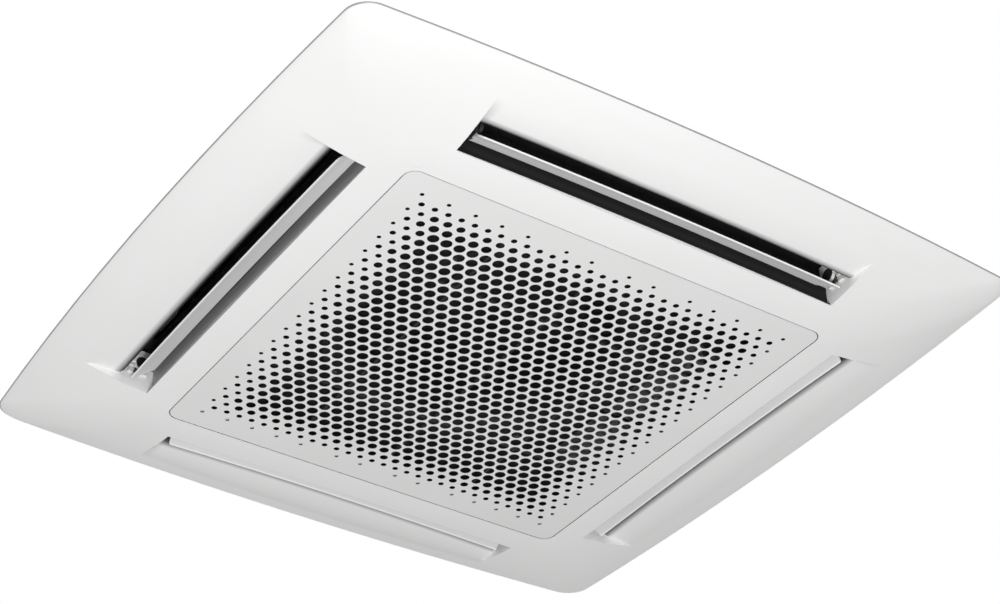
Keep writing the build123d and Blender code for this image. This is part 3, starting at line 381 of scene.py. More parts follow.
def circuit_laminate(name, colour):
    """Solder resist over copper tracks that run square to each other."""
    tree, shader = new_material(name)
    tracks = node_of(tree, "ShaderNodeTexBrick", {
        "Vector": object_place(tree), "Scale": 160.0, "Mortar Size": 0.08, "Color1": (*colour, 1.0),
        "Color2": (*shade(colour, 0.85), 1.0), "Mortar": (*shade(colour, 1.7), 1.0),
    })
    connect(tree, shader, {"Base Color": tracks.outputs["Color"], "Roughness": 0.28})
    add_bump(tree, shader, tracks.outputs["Fac"], 0.00003)


def matt_lining(name, colour):
    """Dull dark lining or netting of the air paths."""
    tree, shader = new_material(name)
    fibres = object_noise(tree, 1200.0, 3.0)
    connect(tree, shader, {
        "Base Color": blend_colours(tree, fibres, shade(colour, 0.7), shade(colour, 1.3)),
        "Roughness": 0.9,
        "Specular IOR Level": 0.15,
    })
    add_bump(tree, shader, fibres, 0.00008)


def object_axes(tree):
    """Object coordinates: X, Y, the distance from the middle along each of them, and the height."""
    axes = node_of(tree, "ShaderNodeSeparateXYZ", {"Vector": object_place(tree)}).outputs
    x, y = axes["X"], axes["Y"]
    return x, y, math_of(tree, "ABSOLUTE", x), math_of(tree, "ABSOLUTE", y), axes["Z"]


def tint(tree, shader, mask, colour):
    """Blend a colour over the shader's present base colour where the mask is 1."""
    present = shader.inputs["Base Color"].links[0].from_socket
    connect(tree, shader, {"Base Color": blend_colours(tree, mask, present, colour)})


def window(tree, *parts):
    """1 where every value has reached its end, and 0 before its start: (value, start, end) each."""
    mask = None
    for value, start, end in parts:
        step = spread(tree, value, float(start > end), float(start < end), min(start, end), max(start, end))
        mask = step if mask is None else math_of(tree, "MULTIPLY", mask, step)
    return mask


def panel_plastic(name, colour, **values):
    """The panel's plastic, with painted shade at the outlets' outer lips, a painted shadow in one corner of
    each recess, painted shade on the inner walls of two throats and a painted shadow along the rim."""
    tree, shader = moulded_plastic(name, colour, **values)
    x, y, far_x, far_y, height = object_axes(tree)
    for out, far, along, lip in ((far_x, far_y, y, LIP_PLACES[0]), (far_y, far_x, x, LIP_PLACES[1])):
        # Painted shade at each outlet's outer lip, darkening where the ramp rounds into the slot.
        lip_shade = window(tree, (out, lip - 0.0040, lip - 0.0036), (out, lip + 0.0110, lip + 0.0005),
                      (far, *OUTLET_END))
        tint(tree, shader, lip_shade, shade(colour, 0.05))
        # Painted shadow of the recess's end wall, in the corner at one end of each recess, fading out along
        # the ramp.
        corner = window(tree, (out, lip + 0.0450, lip + 0.0010), (out, lip - 0.0010, lip),
                        (along, -0.2500, -0.2645), (along, -0.2653, -0.2650))
        tint(tree, shader, corner, shade(colour, 0.45))
    inner = LIP_PLACES[0] - OUTLET_WIDTH
    # Painted shade on the inner walls of the two throats across X, in two bands.
    for depth, above in THROAT_SHADES:
        throat = window(tree, (far_x, inner + 0.0008, inner + 0.0003),
                        (far_x, inner - depth - 0.0001, inner - depth),
                        (height, FACE_HEIGHT + above, FACE_HEIGHT + above + 0.0010), (far_y, *OUTLET_END))
        tint(tree, shader, throat, shade(colour, 0.4))
    # Painted shadow along the top of the rim, where the panel meets the ceiling.
    rim = window(tree, (height, CEILING_HEIGHT - 0.0018, CEILING_HEIGHT - 0.0008))
    tint(tree, shader, rim, shade(colour, 0.3))


def flap_plastic(name, colour, **values):
    """The flaps' plastic, with a painted highlight along the blade's outer edge and painted shade on the ears
    behind the blade's ends.
    """
    tree, shader = moulded_plastic(name, colour, **values)
    far_x, far_y, height = object_axes(tree)[2:]
    # Painted highlight along each blade's outer edge.
    edge_highlight = [spread(tree, out, 0.0, 1.0, edge - 0.0028, edge - 0.0022)
            for out, edge in zip((far_x, far_y), FLAP_EDGES)]
    tint(tree, shader, math_of(tree, "MAXIMUM", *edge_highlight), (0.97, 0.97, 0.97))
    # Painted shade on the ears behind the blade's ends.
    ears = window(tree, (math_of(tree, "MINIMUM", far_x, far_y), FLAP_END - 0.0003, FLAP_END),
                  (height, FACE_HEIGHT + 0.0195, FACE_HEIGHT + 0.0200))
    tint(tree, shader, ears, shade(colour, 0.06))


def build_materials():
    """Make one finish for each material slot of the record."""
    scene = bpy.context.scene
    grain = scene.cassette_panel.grain
    colours = dict(SLOT_COLOURS)
    colours["panel_plastic"] = tuple(scene.cassette_panel.colour)
    colours["grille_plastic"] = tuple(scene.cassette_grille.colour)
    colours["flap_plastic"] = tuple(scene.cassette_flaps.colour)
    # Painted shade: the dark plastic and the filter's net are drawn darker than their own colours so the
    # grille's holes look black.
    colours["dark_plastic"] = shade(colours["dark_plastic"], 0.4)
    colours["filter_net"] = shade(colours["filter_net"], 0.2)

    def make(maker, slot, **values):
        maker(slot, colours[slot], **values)

    make(panel_plastic, "panel_plastic", roughness=0.42, grain=grain, mottle=0.015)
    make(moulded_plastic, "grille_plastic", roughness=0.5, grain=grain)
    make(flap_plastic, "flap_plastic", roughness=0.45, grain=grain)
    make(moulded_plastic, "white_plastic", roughness=0.4)
    make(moulded_plastic, "dark_plastic", roughness=0.7, mottle=0.2)
    make(matt_lining, "filter_net")
    make(galvanised_sheet, "galvanised")
    make(bare_metal, "zinc_steel", roughness=0.26)
    make(beaded_foam, "foam_dark")
    make(matt_lining, "duct_lining")
    make(beaded_foam, "foam_grey", bead=900.0, depth=0.0001)
    make(bare_metal, "fin_aluminium", roughness=0.35, stretch=(1.0, 1.0, 0.05))
    make(bare_metal, "copper", roughness=0.24, tarnish=0.55)
    make(bare_metal, "brass", roughness=0.22, tarnish=0.7)
    make(soft_rubber, "black_rubber")
    make(moulded_plastic, "fan_plastic", roughness=0.36, grain=0.00006)
    make(moulded_plastic, "inlet_plastic", roughness=0.4, mottle=0.15)
    make(painted_sheet, "motor_steel")
    make(bare_metal, "winding", roughness=0.35, stretch=(1.0, 1.0, 12.0))
    make(circuit_laminate, "board_green")
    make(moulded_plastic, "drain_grey", roughness=0.4)
    make(soft_rubber, "clear_hose", roughness=0.25)
    make(painted_sheet, "box_steel", roughness=0.35)


# ---------------------------------------------------------------- geometry node helpers


def new_tree(name, sockets):
    """A geometry node tree with a geometry input and output and named inputs, and the inputs' sockets."""
    tree = bpy.data.node_groups.new(name, "GeometryNodeTree")
    tree.interface.new_socket("Geometry", in_out="INPUT", socket_type="NodeSocketGeometry")
    for label, kind, default in sockets:
        socket = tree.interface.new_socket(label, in_out="INPUT", socket_type=kind)
        if default is not None:
            socket.default_value = default
    tree.interface.new_socket("Geometry", in_out="OUTPUT", socket_type="NodeSocketGeometry")
    return tree, tree.nodes.new("NodeGroupInput").outputs


def add_modifier(obj, tree, values):
    """Put a tree on an object and set its inputs by their identifiers."""
    modifier = obj.modifiers.new(tree.name, "NODES")
    modifier.node_group = tree
    for item in tree.interface.items_tree:
        if item.item_type == "SOCKET" and item.in_out == "INPUT" and item.name in values:
            modifier[item.identifier] = values[item.name]


def joined(tree, *sockets):
    node = tree.nodes.new("GeometryNodeJoinGeometry")
    for socket in sockets:
        tree.links.new(socket, node.inputs["Geometry"])
    return node.outputs["Geometry"]


def finish_tree(tree, instances, material):
    """End a tree: make its instances real and give them a material."""
    real = node_of(tree, "GeometryNodeRealizeInstances", {"Geometry": instances})
    painted = node_of(tree, "GeometryNodeSetMaterial",
                      {"Geometry": real.outputs["Geometry"], "Material": material})
    node_of(tree, "NodeGroupOutput", {"Geometry": painted.outputs["Geometry"]})


def evaluated_piece(source, name):
    """Turn an object with live modifiers into a plain mesh object of that name, and remove the source."""
    bpy.context.view_layer.update()
    graph = bpy.context.evaluated_depsgraph_get()
    mesh = bpy.data.meshes.new_from_object(source.evaluated_get(graph), depsgraph=graph)
    mesh.name = name
    bpy.data.objects.remove(source)
    piece = bpy.data.objects.new(name, mesh)
    bpy.context.scene.collection.objects.link(piece)
    return piece


def empty_source(points, edges=()):
    """Object that carries bare points or edges into a tree."""
    mesh = bpy.data.meshes.new("source")
    mesh.from_pydata([tuple(point) for point in points], edges, [])
    source = bpy.data.objects.new("source", mesh)
    bpy.context.scene.collection.objects.link(source)
    return source


def smoothing_tree():
    """Weld a CAD piece's loose triangles and smooth all edges flatter than an angle."""
    tree, entry = new_tree("Smooth Flat Edges", [("Crease Angle", "NodeSocketFloat", 0.55)])
    weld = node_of(tree, "GeometryNodeMergeByDistance", {"Geometry": entry["Geometry"], "Distance": WELD})
    angle = node_of(tree, "GeometryNodeInputMeshEdgeAngle").outputs["Unsigned Angle"]
    sharp = node_of(tree, "FunctionNodeCompare", {"A": angle, "B": entry["Crease Angle"]},
                    data_type="FLOAT", operation="GREATER_THAN")
    faces = node_of(tree, "GeometryNodeSetShadeSmooth",
                    {"Geometry": weld.outputs["Geometry"], "Shade Smooth": True}, domain="FACE")
    edges = node_of(tree, "GeometryNodeSetShadeSmooth",
                    {"Geometry": faces.outputs["Geometry"], "Selection": sharp.outputs["Result"],
                     "Shade Smooth": False}, domain="EDGE")
    node_of(tree, "NodeGroupOutput", {"Geometry": edges.outputs["Geometry"]})
    return tree


def finish_node(name, tree, angle):
    """Give a CAD piece its material, and smooth it without changing its mesh."""
    obj = NODES[name]
    obj.data.materials.clear()
    obj.data.materials.append(bpy.data.materials[SLOT_OF_NODE[name]])
    add_modifier(obj, tree, {"Crease Angle": angle})
    weighted = obj.modifiers.new("Even Normals", "WEIGHTED_NORMAL")
    weighted.keep_sharp = True


# ---------------------------------------------------------------- panel

NEAR_SURFACE = 0.0012
ALONG_SURFACE = 0.93


def level_distance(x, y, height):
    """How far a place lies outside the panel's level line at a height above the face, in metres."""
    depth = min(max(height, 1e-5), PANEL_DROP - 1e-5) / PANEL_DROP
    out = math.sin(math.acos((1 - depth) ** 0.75)) ** (4 / 3)
    half = FACE_HALF + PANEL_RUN * out
    bow = FACE_BOW + (RIM_BOW - FACE_BOW) * out ** 2 - SADDLE * out * (1 - out) ** 2
    corner_r = FACE_CORNER_R + (RIM_CORNER_R - FACE_CORNER_R) * out + CORNER_SWELL * out * (1 - out)
    x, y = abs(x), abs(y)
    if y > x:
        x, y = y, x
    if abs(bow) < 1e-7:
        bow = 1e-7
    chord = half - bow
    radius = (chord * chord + bow * bow) / (2 * bow)
    arc_x = half - radius
    sign = 1.0 if radius > 0 else -1.0
    inner = abs(radius) - sign * corner_r
    root = math.sqrt(max(2 * inner * inner - arc_x * arc_x, 0.0))
    centre = (arc_x + sign * root) / 2
    along = sign * ((centre - arc_x) * (y - centre) - centre * (x - centre))
    if along > 0:
        return math.hypot(x - centre, y - centre) - corner_r
    return sign * (math.hypot(x - arc_x, y) - abs(radius))


def pillow_normal(point):
    """Outward normal of the panel's curved lower side near a point, and how far off it the point is."""
    step = 0.00005
    x, y, height = point.x, point.y, point.z - FACE_HEIGHT
    off = level_distance(x, y, height)
    gradient = Vector((
        level_distance(x + step, y, height) - level_distance(x - step, y, height),
        level_distance(x, y + step, height) - level_distance(x, y - step, height),
        level_distance(x, y, height + step) - level_distance(x, y, height - step),
    )) / (2 * step)
    length = gradient.length
    return gradient / length, off / length


def merged_copy(node):
    """A welded copy of a CAD piece's mesh, as a new mesh."""
    work = bmesh.new()
    work.from_mesh(NODES[node].data)
    bmesh.ops.remove_doubles(work, verts=work.verts, dist=WELD)
    mesh = bpy.data.meshes.new(node)
    work.to_mesh(mesh)
    work.free()
    return mesh


def corner_normals(mesh, crease_angle):
    """A normal for every face corner: the true one on the curved lower side, else an even one."""
    faces_at = {}
    for polygon in mesh.polygons:
        for vertex in polygon.vertices:
            faces_at.setdefault(vertex, []).append(polygon)
    limit = math.cos(crease_angle)
    true_normals = {}
    normals = []
    for polygon in mesh.polygons:
        for vertex in polygon.vertices:
            if vertex not in true_normals:
                true_normals[vertex] = pillow_normal(mesh.vertices[vertex].co)
            true, off = true_normals[vertex]
            if abs(off) < NEAR_SURFACE and true.dot(polygon.normal) > ALONG_SURFACE:
                normals.append(true)
                continue
            total = Vector()
            for other in faces_at[vertex]:
                if other.normal.dot(polygon.normal) > limit:
                    total += other.normal * other.area
            normals.append(total.normalized() if total.length > 0 else polygon.normal.copy())
    return normals


class CASSETTE_OT_panel(bpy.types.Operator):
    """Build the moulded ceiling panel with a smooth lower side."""

    bl_idname = "cassette.panel"
    bl_label = "Ceiling Panel"

    def execute(self, context):
        settings = context.scene.cassette_panel
        mesh = merged_copy("panel_frame")
        normals = corner_normals(mesh, settings.crease_angle)
        mesh.polygons.foreach_set("use_smooth", [True] * len(mesh.polygons))
        mesh.normals_split_custom_set(normals)
        mesh.materials.clear()
        mesh.materials.append(bpy.data.materials["panel_plastic"])
        panel = bpy.data.objects.new("ceiling_panel", mesh)
        context.scene.collection.objects.link(panel)
        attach(panel, "unit")
        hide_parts("panel_frame")
        return {"FINISHED"}


# ---------------------------------------------------------------- grille

ROWS = 35
HOLES_IN_LONG_ROW = 30
HOLE_DIAMETERS = (0.0053, 0.0075, 0.0105, 0.0124, 0.0142)
EDGE_ROW_STEPS = (0, 2, 4, 6, 8, 11, 13, 16, 18, 21, 23, 25, 27, 29)
GRILLE_HALF = 0.292
GRILLE_CORNER_R = 0.015
PLATE_THICKNESS = 0.0025
FIELD_HALF = 0.265
FIELD_CORNER_R = 0.004
NET_STRAND = 0.0004
NET_LAYERS = ((0.0, 0.0002), (math.pi / 2, 0.0006))


def hole_diameter(column, row):
    """Holes shrink over the last few columns and rows at each border."""
    from_side = min(column, HOLES_IN_LONG_ROW - 1 - column)
    from_end = min(row, ROWS - 1 - row)
    full = len(HOLE_DIAMETERS) - 1
    side_size = full if from_side >= 3 else math.ceil(from_side)
    return HOLE_DIAMETERS[min(side_size, from_end, full)]


def hole_places(column_pitch, row_pitch):
    """Centre and radius of every hole of the plate."""
    centres, radii = [], []
    for row in range(ROWS):
        for index in range(HOLES_IN_LONG_ROW - row % 2):
            if row in (0, ROWS - 1) and index not in EDGE_ROW_STEPS:
                continue
            column = index + (row % 2) / 2
            x = (column - (HOLES_IN_LONG_ROW - 1) / 2) * column_pitch
            y = (row - (ROWS - 1) / 2) * row_pitch
            centres.append((x, y, 0.0))
            radii.append(hole_diameter(column, row) / 2)
    return centres, radii


def rounded_square(tree, half, corner_r):
    """Curve of a square with round corners, from sockets or numbers."""
    width = math_of(tree, "MULTIPLY", half, 2.0)
    square = node_of(tree, "GeometryNodeCurvePrimitiveQuadrilateral", {"Width": width, "Height": width})
    return node_of(tree, "GeometryNodeFilletCurve",
                   {"Curve": square.outputs["Curve"], "Count": 10, "Radius": corner_r},
                   mode="POLY").outputs["Curve"]


def slab(tree, outline, base, thickness):
    """Closed slab between two heights, filled from flat curves."""
    fill = node_of(tree, "GeometryNodeFillCurve", {"Curve": outline}, mode="TRIANGLES").outputs["Mesh"]
    low = node_of(tree, "ShaderNodeCombineXYZ", {"Z": base}).outputs["Vector"]
    placed = node_of(tree, "GeometryNodeTransform",
                     {"Geometry": fill, "Translation": low}).outputs["Geometry"]
    up = node_of(tree, "ShaderNodeCombineXYZ", {"Z": thickness}).outputs["Vector"]
    raised = node_of(tree, "GeometryNodeExtrudeMesh",
                     {"Mesh": placed, "Offset": up, "Offset Scale": 1.0, "Individual": False}, mode="FACES")
    under = node_of(tree, "GeometryNodeFlipFaces", {"Mesh": placed}).outputs["Mesh"]
    whole = joined(tree, raised.outputs["Mesh"], under)
    weld = node_of(tree, "GeometryNodeMergeByDistance", {"Geometry": whole, "Distance": 0.000005})
    return weld.outputs["Geometry"]


def bore_faces(tree):
    """Selection of the upright faces inside the perforated field."""
    tilt = node_of(tree, "ShaderNodeSeparateXYZ",
                   {"Vector": node_of(tree, "GeometryNodeInputNormal").outputs["Normal"]}).outputs["Z"]
    chosen = node_of(tree, "FunctionNodeCompare", {"A": tilt, "B": 0.0, "Epsilon": 0.5},
                     data_type="FLOAT", operation="EQUAL").outputs["Result"]
    place = node_of(tree, "ShaderNodeSeparateXYZ",
                    {"Vector": node_of(tree, "GeometryNodeInputPosition").outputs["Position"]})
    for axis in "XY":
        far = math_of(tree, "ABSOLUTE", place.outputs[axis])
        inside = node_of(tree, "FunctionNodeCompare", {"A": far, "B": FIELD_HALF - 0.0005},
                         data_type="FLOAT", operation="LESS_THAN").outputs["Result"]
        chosen = node_of(tree, "FunctionNodeBooleanMath", {0: chosen, 1: inside}, operation="AND").outputs[0]
    return chosen


def perforated_tree():
    """Thin field with a round hole at every point, inside a thicker border."""
    tree, value = new_tree("Perforated Plate", [
        ("Half Width", "NodeSocketFloat", GRILLE_HALF),
        ("Corner Radius", "NodeSocketFloat", GRILLE_CORNER_R),
        ("Field Half Width", "NodeSocketFloat", FIELD_HALF),
        ("Base Height", "NodeSocketFloat", 0.0),
        ("Field Thickness", "NodeSocketFloat", 0.0012),
        ("Border Thickness", "NodeSocketFloat", PLATE_THICKNESS),
        ("Hole Sides", "NodeSocketInt", 20),
        ("Plate Material", "NodeSocketMaterial", None),
        ("Hole Material", "NodeSocketMaterial", None),
    ])
    points = node_of(tree, "GeometryNodeMeshToPoints", {"Mesh": value["Geometry"]}).outputs["Points"]
    circle = node_of(tree, "GeometryNodeCurvePrimitiveCircle",
                     {"Resolution": value["Hole Sides"], "Radius": 1.0})
    radius = node_of(tree, "GeometryNodeInputNamedAttribute", {"Name": "hole_radius"}, data_type="FLOAT")
    holes = node_of(tree, "GeometryNodeInstanceOnPoints",
                    {"Points": points, "Instance": circle.outputs["Curve"],
                     "Scale": radius.outputs["Attribute"]}).outputs["Instances"]
    holes = node_of(tree, "GeometryNodeRealizeInstances", {"Geometry": holes}).outputs["Geometry"]
    outline = rounded_square(tree, value["Half Width"], value["Corner Radius"])
    field = slab(tree, joined(tree, outline, holes), value["Base Height"], value["Field Thickness"])
    inner = rounded_square(tree, value["Field Half Width"], FIELD_CORNER_R)
    rise = math_of(tree, "ADD", value["Base Height"], value["Field Thickness"])
    rest = math_of(tree, "SUBTRACT", value["Border Thickness"], value["Field Thickness"])
    border = slab(tree, joined(tree, outline, inner), rise, rest)
    painted = node_of(tree, "GeometryNodeSetMaterial",
                      {"Geometry": joined(tree, field, border), "Material": value["Plate Material"]})
    # The holes' upright walls take the dark lining material as painted shade inside the holes.
    shaded_bores = node_of(tree, "GeometryNodeSetMaterial", {
        "Geometry": painted.outputs["Geometry"], "Selection": bore_faces(tree),
        "Material": value["Hole Material"],
    })
    node_of(tree, "NodeGroupOutput", {"Geometry": shaded_bores.outputs["Geometry"]})
    return tree


class CASSETTE_OT_grille(bpy.types.Operator):
    """Build the perforated intake plate."""

    bl_idname = "cassette.grille"
    bl_label = "Perforated Grille"

    def execute(self, context):
        settings = context.scene.cassette_grille
        centres, radii = hole_places(settings.column_pitch, settings.row_pitch)
        source = empty_source(centres)
        source.data.attributes.new("hole_radius", "FLOAT", "POINT").data.foreach_set("value", radii)
        add_modifier(source, perforated_tree(), {
            "Half Width": GRILLE_HALF,
            "Corner Radius": GRILLE_CORNER_R,
            "Field Half Width": FIELD_HALF,
            "Base Height": FACE_HEIGHT,
            "Field Thickness": settings.sheet,
            "Border Thickness": PLATE_THICKNESS,
            "Hole Sides": settings.hole_sides,
            "Plate Material": bpy.data.materials["grille_plastic"],
            # Painted shade: the holes' walls are drawn in the dark lining.
            "Hole Material": bpy.data.materials["duct_lining"],
        })
        plate = evaluated_piece(source, "perforated_plate")
        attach(plate, "grille")
        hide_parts("grille_plate")
        return {"FINISHED"}


def net_tree():
    """Two layers of thin square strands, laid across each other."""
    tree, value = new_tree("Filter Net", [
        ("Half Width", "NodeSocketFloat", 0.263),
        ("Pitch", "NodeSocketFloat", 0.0022),
        ("Strand", "NodeSocketFloat", NET_STRAND),
        ("Base Height", "NodeSocketFloat", 0.0),
        ("Material", "NodeSocketMaterial", None),
    ])
    width = math_of(tree, "MULTIPLY", value["Half Width"], 2.0)
    count = node_of(tree, "FunctionNodeFloatToInt", {"Float": math_of(tree, "DIVIDE", width, value["Pitch"])})
    size = node_of(tree, "ShaderNodeCombineXYZ", {"X": width, "Y": value["Strand"], "Z": value["Strand"]})
    strand = node_of(tree, "GeometryNodeMeshCube", {"Size": size.outputs["Vector"]}).outputs["Mesh"]
    low, high = (
        node_of(tree, "ShaderNodeCombineXYZ", {
            "Y": math_of(tree, "MULTIPLY", value["Half Width"], side),
        }).outputs["Vector"] for side in (-0.998, 0.998)
    )
    line = node_of(tree, "GeometryNodeCurvePrimitiveLine", {"Start": low, "End": high}).outputs["Curve"]
    points = node_of(tree, "GeometryNodeCurveToPoints", {"Curve": line, "Count": count.outputs["Integer"]},
                     mode="COUNT")
    laid = node_of(tree, "GeometryNodeInstanceOnPoints",
                   {"Points": points.outputs["Points"], "Instance": strand}).outputs["Instances"]
    layers = []
    for turn, lift in NET_LAYERS:
        shift = node_of(tree, "ShaderNodeCombineXYZ", {"Z": math_of(tree, "ADD", value["Base Height"], lift)})
        layer = node_of(tree, "GeometryNodeTransform", {
            "Geometry": laid, "Translation": shift.outputs["Vector"], "Rotation": (0.0, 0.0, turn),
        })
        layers.append(layer.outputs["Geometry"])
    finish_tree(tree, joined(tree, *layers), value["Material"])
    return tree


class CASSETTE_OT_filter(bpy.types.Operator):
    """Weave the filter's net in place of its flat sheet."""

    bl_idname = "cassette.filter"
    bl_label = "Filter Net"

    def execute(self, context):
        low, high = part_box("filter_mesh")
        source = empty_source([(0.0, 0.0, 0.0)])
        add_modifier(source, net_tree(), {
            "Half Width": high.x,
            "Pitch": context.scene.cassette_grille.net_pitch,
            "Strand": NET_STRAND,
            "Base Height": low.z,
            "Material": bpy.data.materials["filter_net"],
        })
        net = evaluated_piece(source, "filter_net")
        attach(net, "grille")
        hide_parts("filter_mesh")
        return {"FINISHED"}


# ---------------------------------------------------------------- coil

COIL_DEPTH = 0.038
COIL_CORNER_R = 0.041


def fin_tree():
    """Upright fins square to a path."""
    tree, value = new_tree("Coil Fins", [
        ("Depth", "NodeSocketFloat", COIL_DEPTH),
        ("Height", "NodeSocketFloat", 0.2),
        ("Thickness", "NodeSocketFloat", 0.0003),
        ("Pitch", "NodeSocketFloat", 0.0026),
        ("Material", "NodeSocketMaterial", None),
    ])
    path = node_of(tree, "GeometryNodeMeshToCurve", {"Mesh": value["Geometry"]}).outputs["Curve"]
    points = node_of(tree, "GeometryNodeCurveToPoints", {"Curve": path, "Length": value["Pitch"]},
                     mode="LENGTH")
    size = node_of(tree, "ShaderNodeCombineXYZ",
                   {"X": value["Thickness"], "Y": value["Depth"], "Z": value["Height"]}).outputs["Vector"]
    fin = node_of(tree, "GeometryNodeMeshCube", {"Size": size}).outputs["Mesh"]
    turn = node_of(tree, "FunctionNodeAlignRotationToVector", {"Vector": points.outputs["Tangent"]},
                   axis="X", pivot_axis="Z").outputs["Rotation"]
    fins = node_of(tree, "GeometryNodeInstanceOnPoints",
                   {"Points": points.outputs["Points"], "Instance": fin, "Rotation": turn})
    finish_tree(tree, fins.outputs["Instances"], value["Material"])
    return tree


def coil_path(middle, corner_r, gap, height):
    """Points along the middle of the coil: a round-cornered square, open at the corner +X +Y."""
    points = [Vector((middle, gap, height)), Vector((middle, -middle + corner_r, height))]
    for sign_x, sign_y, start in ((1, -1, 0.0), (-1, -1, -90.0), (-1, 1, -180.0)):
        centre = Vector((sign_x * (middle - corner_r), sign_y * (middle - corner_r), height))
        for step in range(13):
            angle = math.radians(start - step * 7.5)
            points.append(centre + corner_r * Vector((math.cos(angle), math.sin(angle), 0.0)))
    points.append(Vector((gap, middle, height)))
    clean = [points[0]]
    for point in points[1:]:
        if (point - clean[-1]).length > 1e-5:
            clean.append(point)
    return clean


class CASSETTE_OT_coil(bpy.types.Operator):
    """Build the coil's separate fins."""

    bl_idname = "cassette.coil"
    bl_label = "Coil Fins"

    def execute(self, context):
        settings = context.scene.cassette_coil
        low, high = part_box("coil_fins")
        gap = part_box("coil_end_plates")[0].y - 0.002
        points = coil_path(high.x - COIL_DEPTH / 2, COIL_CORNER_R, gap, (low.z + high.z) / 2)
        source = empty_source(points, [(index, index + 1) for index in range(len(points) - 1)])
        add_modifier(source, fin_tree(), {
            "Depth": COIL_DEPTH,
            "Height": high.z - low.z,
            "Thickness": settings.fin_thickness,
            "Pitch": settings.fin_pitch,
            "Material": bpy.data.materials["fin_aluminium"],
        })
        fins = evaluated_piece(source, "fin_pack")
        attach(fins, "unit")
        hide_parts("coil_fins")
        return {"FINISHED"}


# ---------------------------------------------------------------- carried-over pieces

GROUPS = {
    "grille_back": (
        "grille_frame", "grille_hinge_pins", "filter_frame", "latch_strike_plates", "latch_bodies",
        "latch_plunger_a", "latch_plunger_b",
    ),
    "flaps": (
        "flap_a", "flap_b", "flap_c", "flap_d", "flap_brackets", "flap_bushes", "flap_motors",
        "outlet_liners",
    ),
    "casing": (
        "chassis_shell", "top_plate", "casing_liner", "top_insulation", "hanger_brackets",
        "bracket_rivets", "rim_gasket", "outlet_gaskets", "panel_screws", "drain_pan", "drain_plug",
    ),
    "air_mover": (
        "fan_impeller", "fan_nut", "motor_rotor", "motor_stator", "motor_casing", "motor_bushes",
        "motor_bolts", "bell_mouth", "bell_mouth_screws",
    ),
    "plumbing": (
        "coil_end_plates", "coil_return_bends", "coil_header", "gas_pipe", "liquid_pipe", "distributor",
        "capillary_tubes", "flare_unions", "pipe_grommets", "drain_socket", "drain_hose", "pump_body",
        "pump_impeller", "pump_bracket", "float_guide", "float_ring",
    ),
    "controls": ("control_box", "control_box_lid", "circuit_board", "electrics", "air_sensor"),
}


def finish_group(context, group):
    """Smooth the CAD pieces of a group and give them their finishes."""
    tree = bpy.data.node_groups.get("Smooth Flat Edges") or smoothing_tree()
    angle = context.scene.cassette_panel.crease_angle
    for name in GROUPS[group]:
        finish_node(name, tree, angle)
    return {"FINISHED"}


class CASSETTE_OT_materials(bpy.types.Operator):
    """Make the finish of every material slot."""

    bl_idname = "cassette.materials"
    bl_label = "Materials"

    def execute(self, context):
        build_materials()
        return {"FINISHED"}


class CASSETTE_OT_grille_back(bpy.types.Operator):
    """Finish the ring, pins, filter frame and latches behind the grille."""

    bl_idname = "cassette.grille_back"
    bl_label = "Grille Back"

    def execute(self, context):
        return finish_group(context, "grille_back")


class CASSETTE_OT_flaps(bpy.types.Operator):
    """Finish the air flaps, their end brackets and the outlet linings."""

    bl_idname = "cassette.flaps"
    bl_label = "Air Flaps"

    def execute(self, context):
        return finish_group(context, "flaps")


class CASSETTE_OT_casing(bpy.types.Operator):
    """Finish the casing, its hangers, foam and seals."""

    bl_idname = "cassette.casing"
    bl_label = "Casing"

    def execute(self, context):
        return finish_group(context, "casing")


class CASSETTE_OT_air_mover(bpy.types.Operator):
    """Finish the fan, its motor and the bell mouth."""

    bl_idname = "cassette.air_mover"
    bl_label = "Fan and Motor"

    def execute(self, context):
        return finish_group(context, "air_mover")


class CASSETTE_OT_plumbing(bpy.types.Operator):
    """Finish the coil's pipes, the refrigerant connections and the condensate pump."""

    bl_idname = "cassette.plumbing"
    bl_label = "Pipes and Pump"

    def execute(self, context):
        return finish_group(context, "plumbing")


class CASSETTE_OT_controls(bpy.types.Operator):
    """Finish the control box and what is in it."""

    bl_idname = "cassette.controls"
    bl_label = "Controls"

    def execute(self, context):
        return finish_group(context, "controls")


# ---------------------------------------------------------------- stage

VIEW_PLACE = (-1.3000, -1.9462, -1.7966)
VIEW_FORWARD = (0.45448, 0.66952, 0.58753)
VIEW_UP = (-0.31866, -0.49373, 0.80913)
CEILING_HOLE = 0.445
CEILING_REACH = 8.0
NEAR_SIDE = (-0.56, -0.83, 0.0)
WHITE = (1.0, 1.0, 1.0, 1.0)


def square_ring(name, inner, outer, height):
    """Flat square with a square hole, facing down."""
    mesh = bpy.data.meshes.new(name)
    corners = [(-1, -1), (1, -1), (1, 1), (-1, 1)]
    points = [(x * half, y * half, height) for half in (inner, outer) for x, y in corners]
    faces = [(i, (i + 1) % 4, 4 + (i + 1) % 4, 4 + i) for i in range(4)]
    mesh.from_pydata(points, [], faces)
    ring = bpy.data.objects.new(name, mesh)
    bpy.context.scene.collection.objects.link(ring)
    return ring


def ceiling_material():
    """White to the camera from below, and not there for any other ray or from above."""
    material = bpy.data.materials.new("ceiling_white")
    tree = emptied(material)
    ray = node_of(tree, "ShaderNodeLightPath").outputs["Is Camera Ray"]
    behind = node_of(tree, "ShaderNodeNewGeometry").outputs["Backfacing"]
    front = node_of(tree, "ShaderNodeMath", {0: ray, 1: behind}, operation="SUBTRACT", use_clamp=True)
    clear = node_of(tree, "ShaderNodeBsdfTransparent").outputs["BSDF"]
    white = node_of(tree, "ShaderNodeEmission").outputs["Emission"]
    mix = node_of(tree, "ShaderNodeMixShader", {"Fac": front.outputs[0], 1: clear, 2: white})
    node_of(tree, "ShaderNodeOutputMaterial", {"Surface": mix.outputs["Shader"]})
    return material


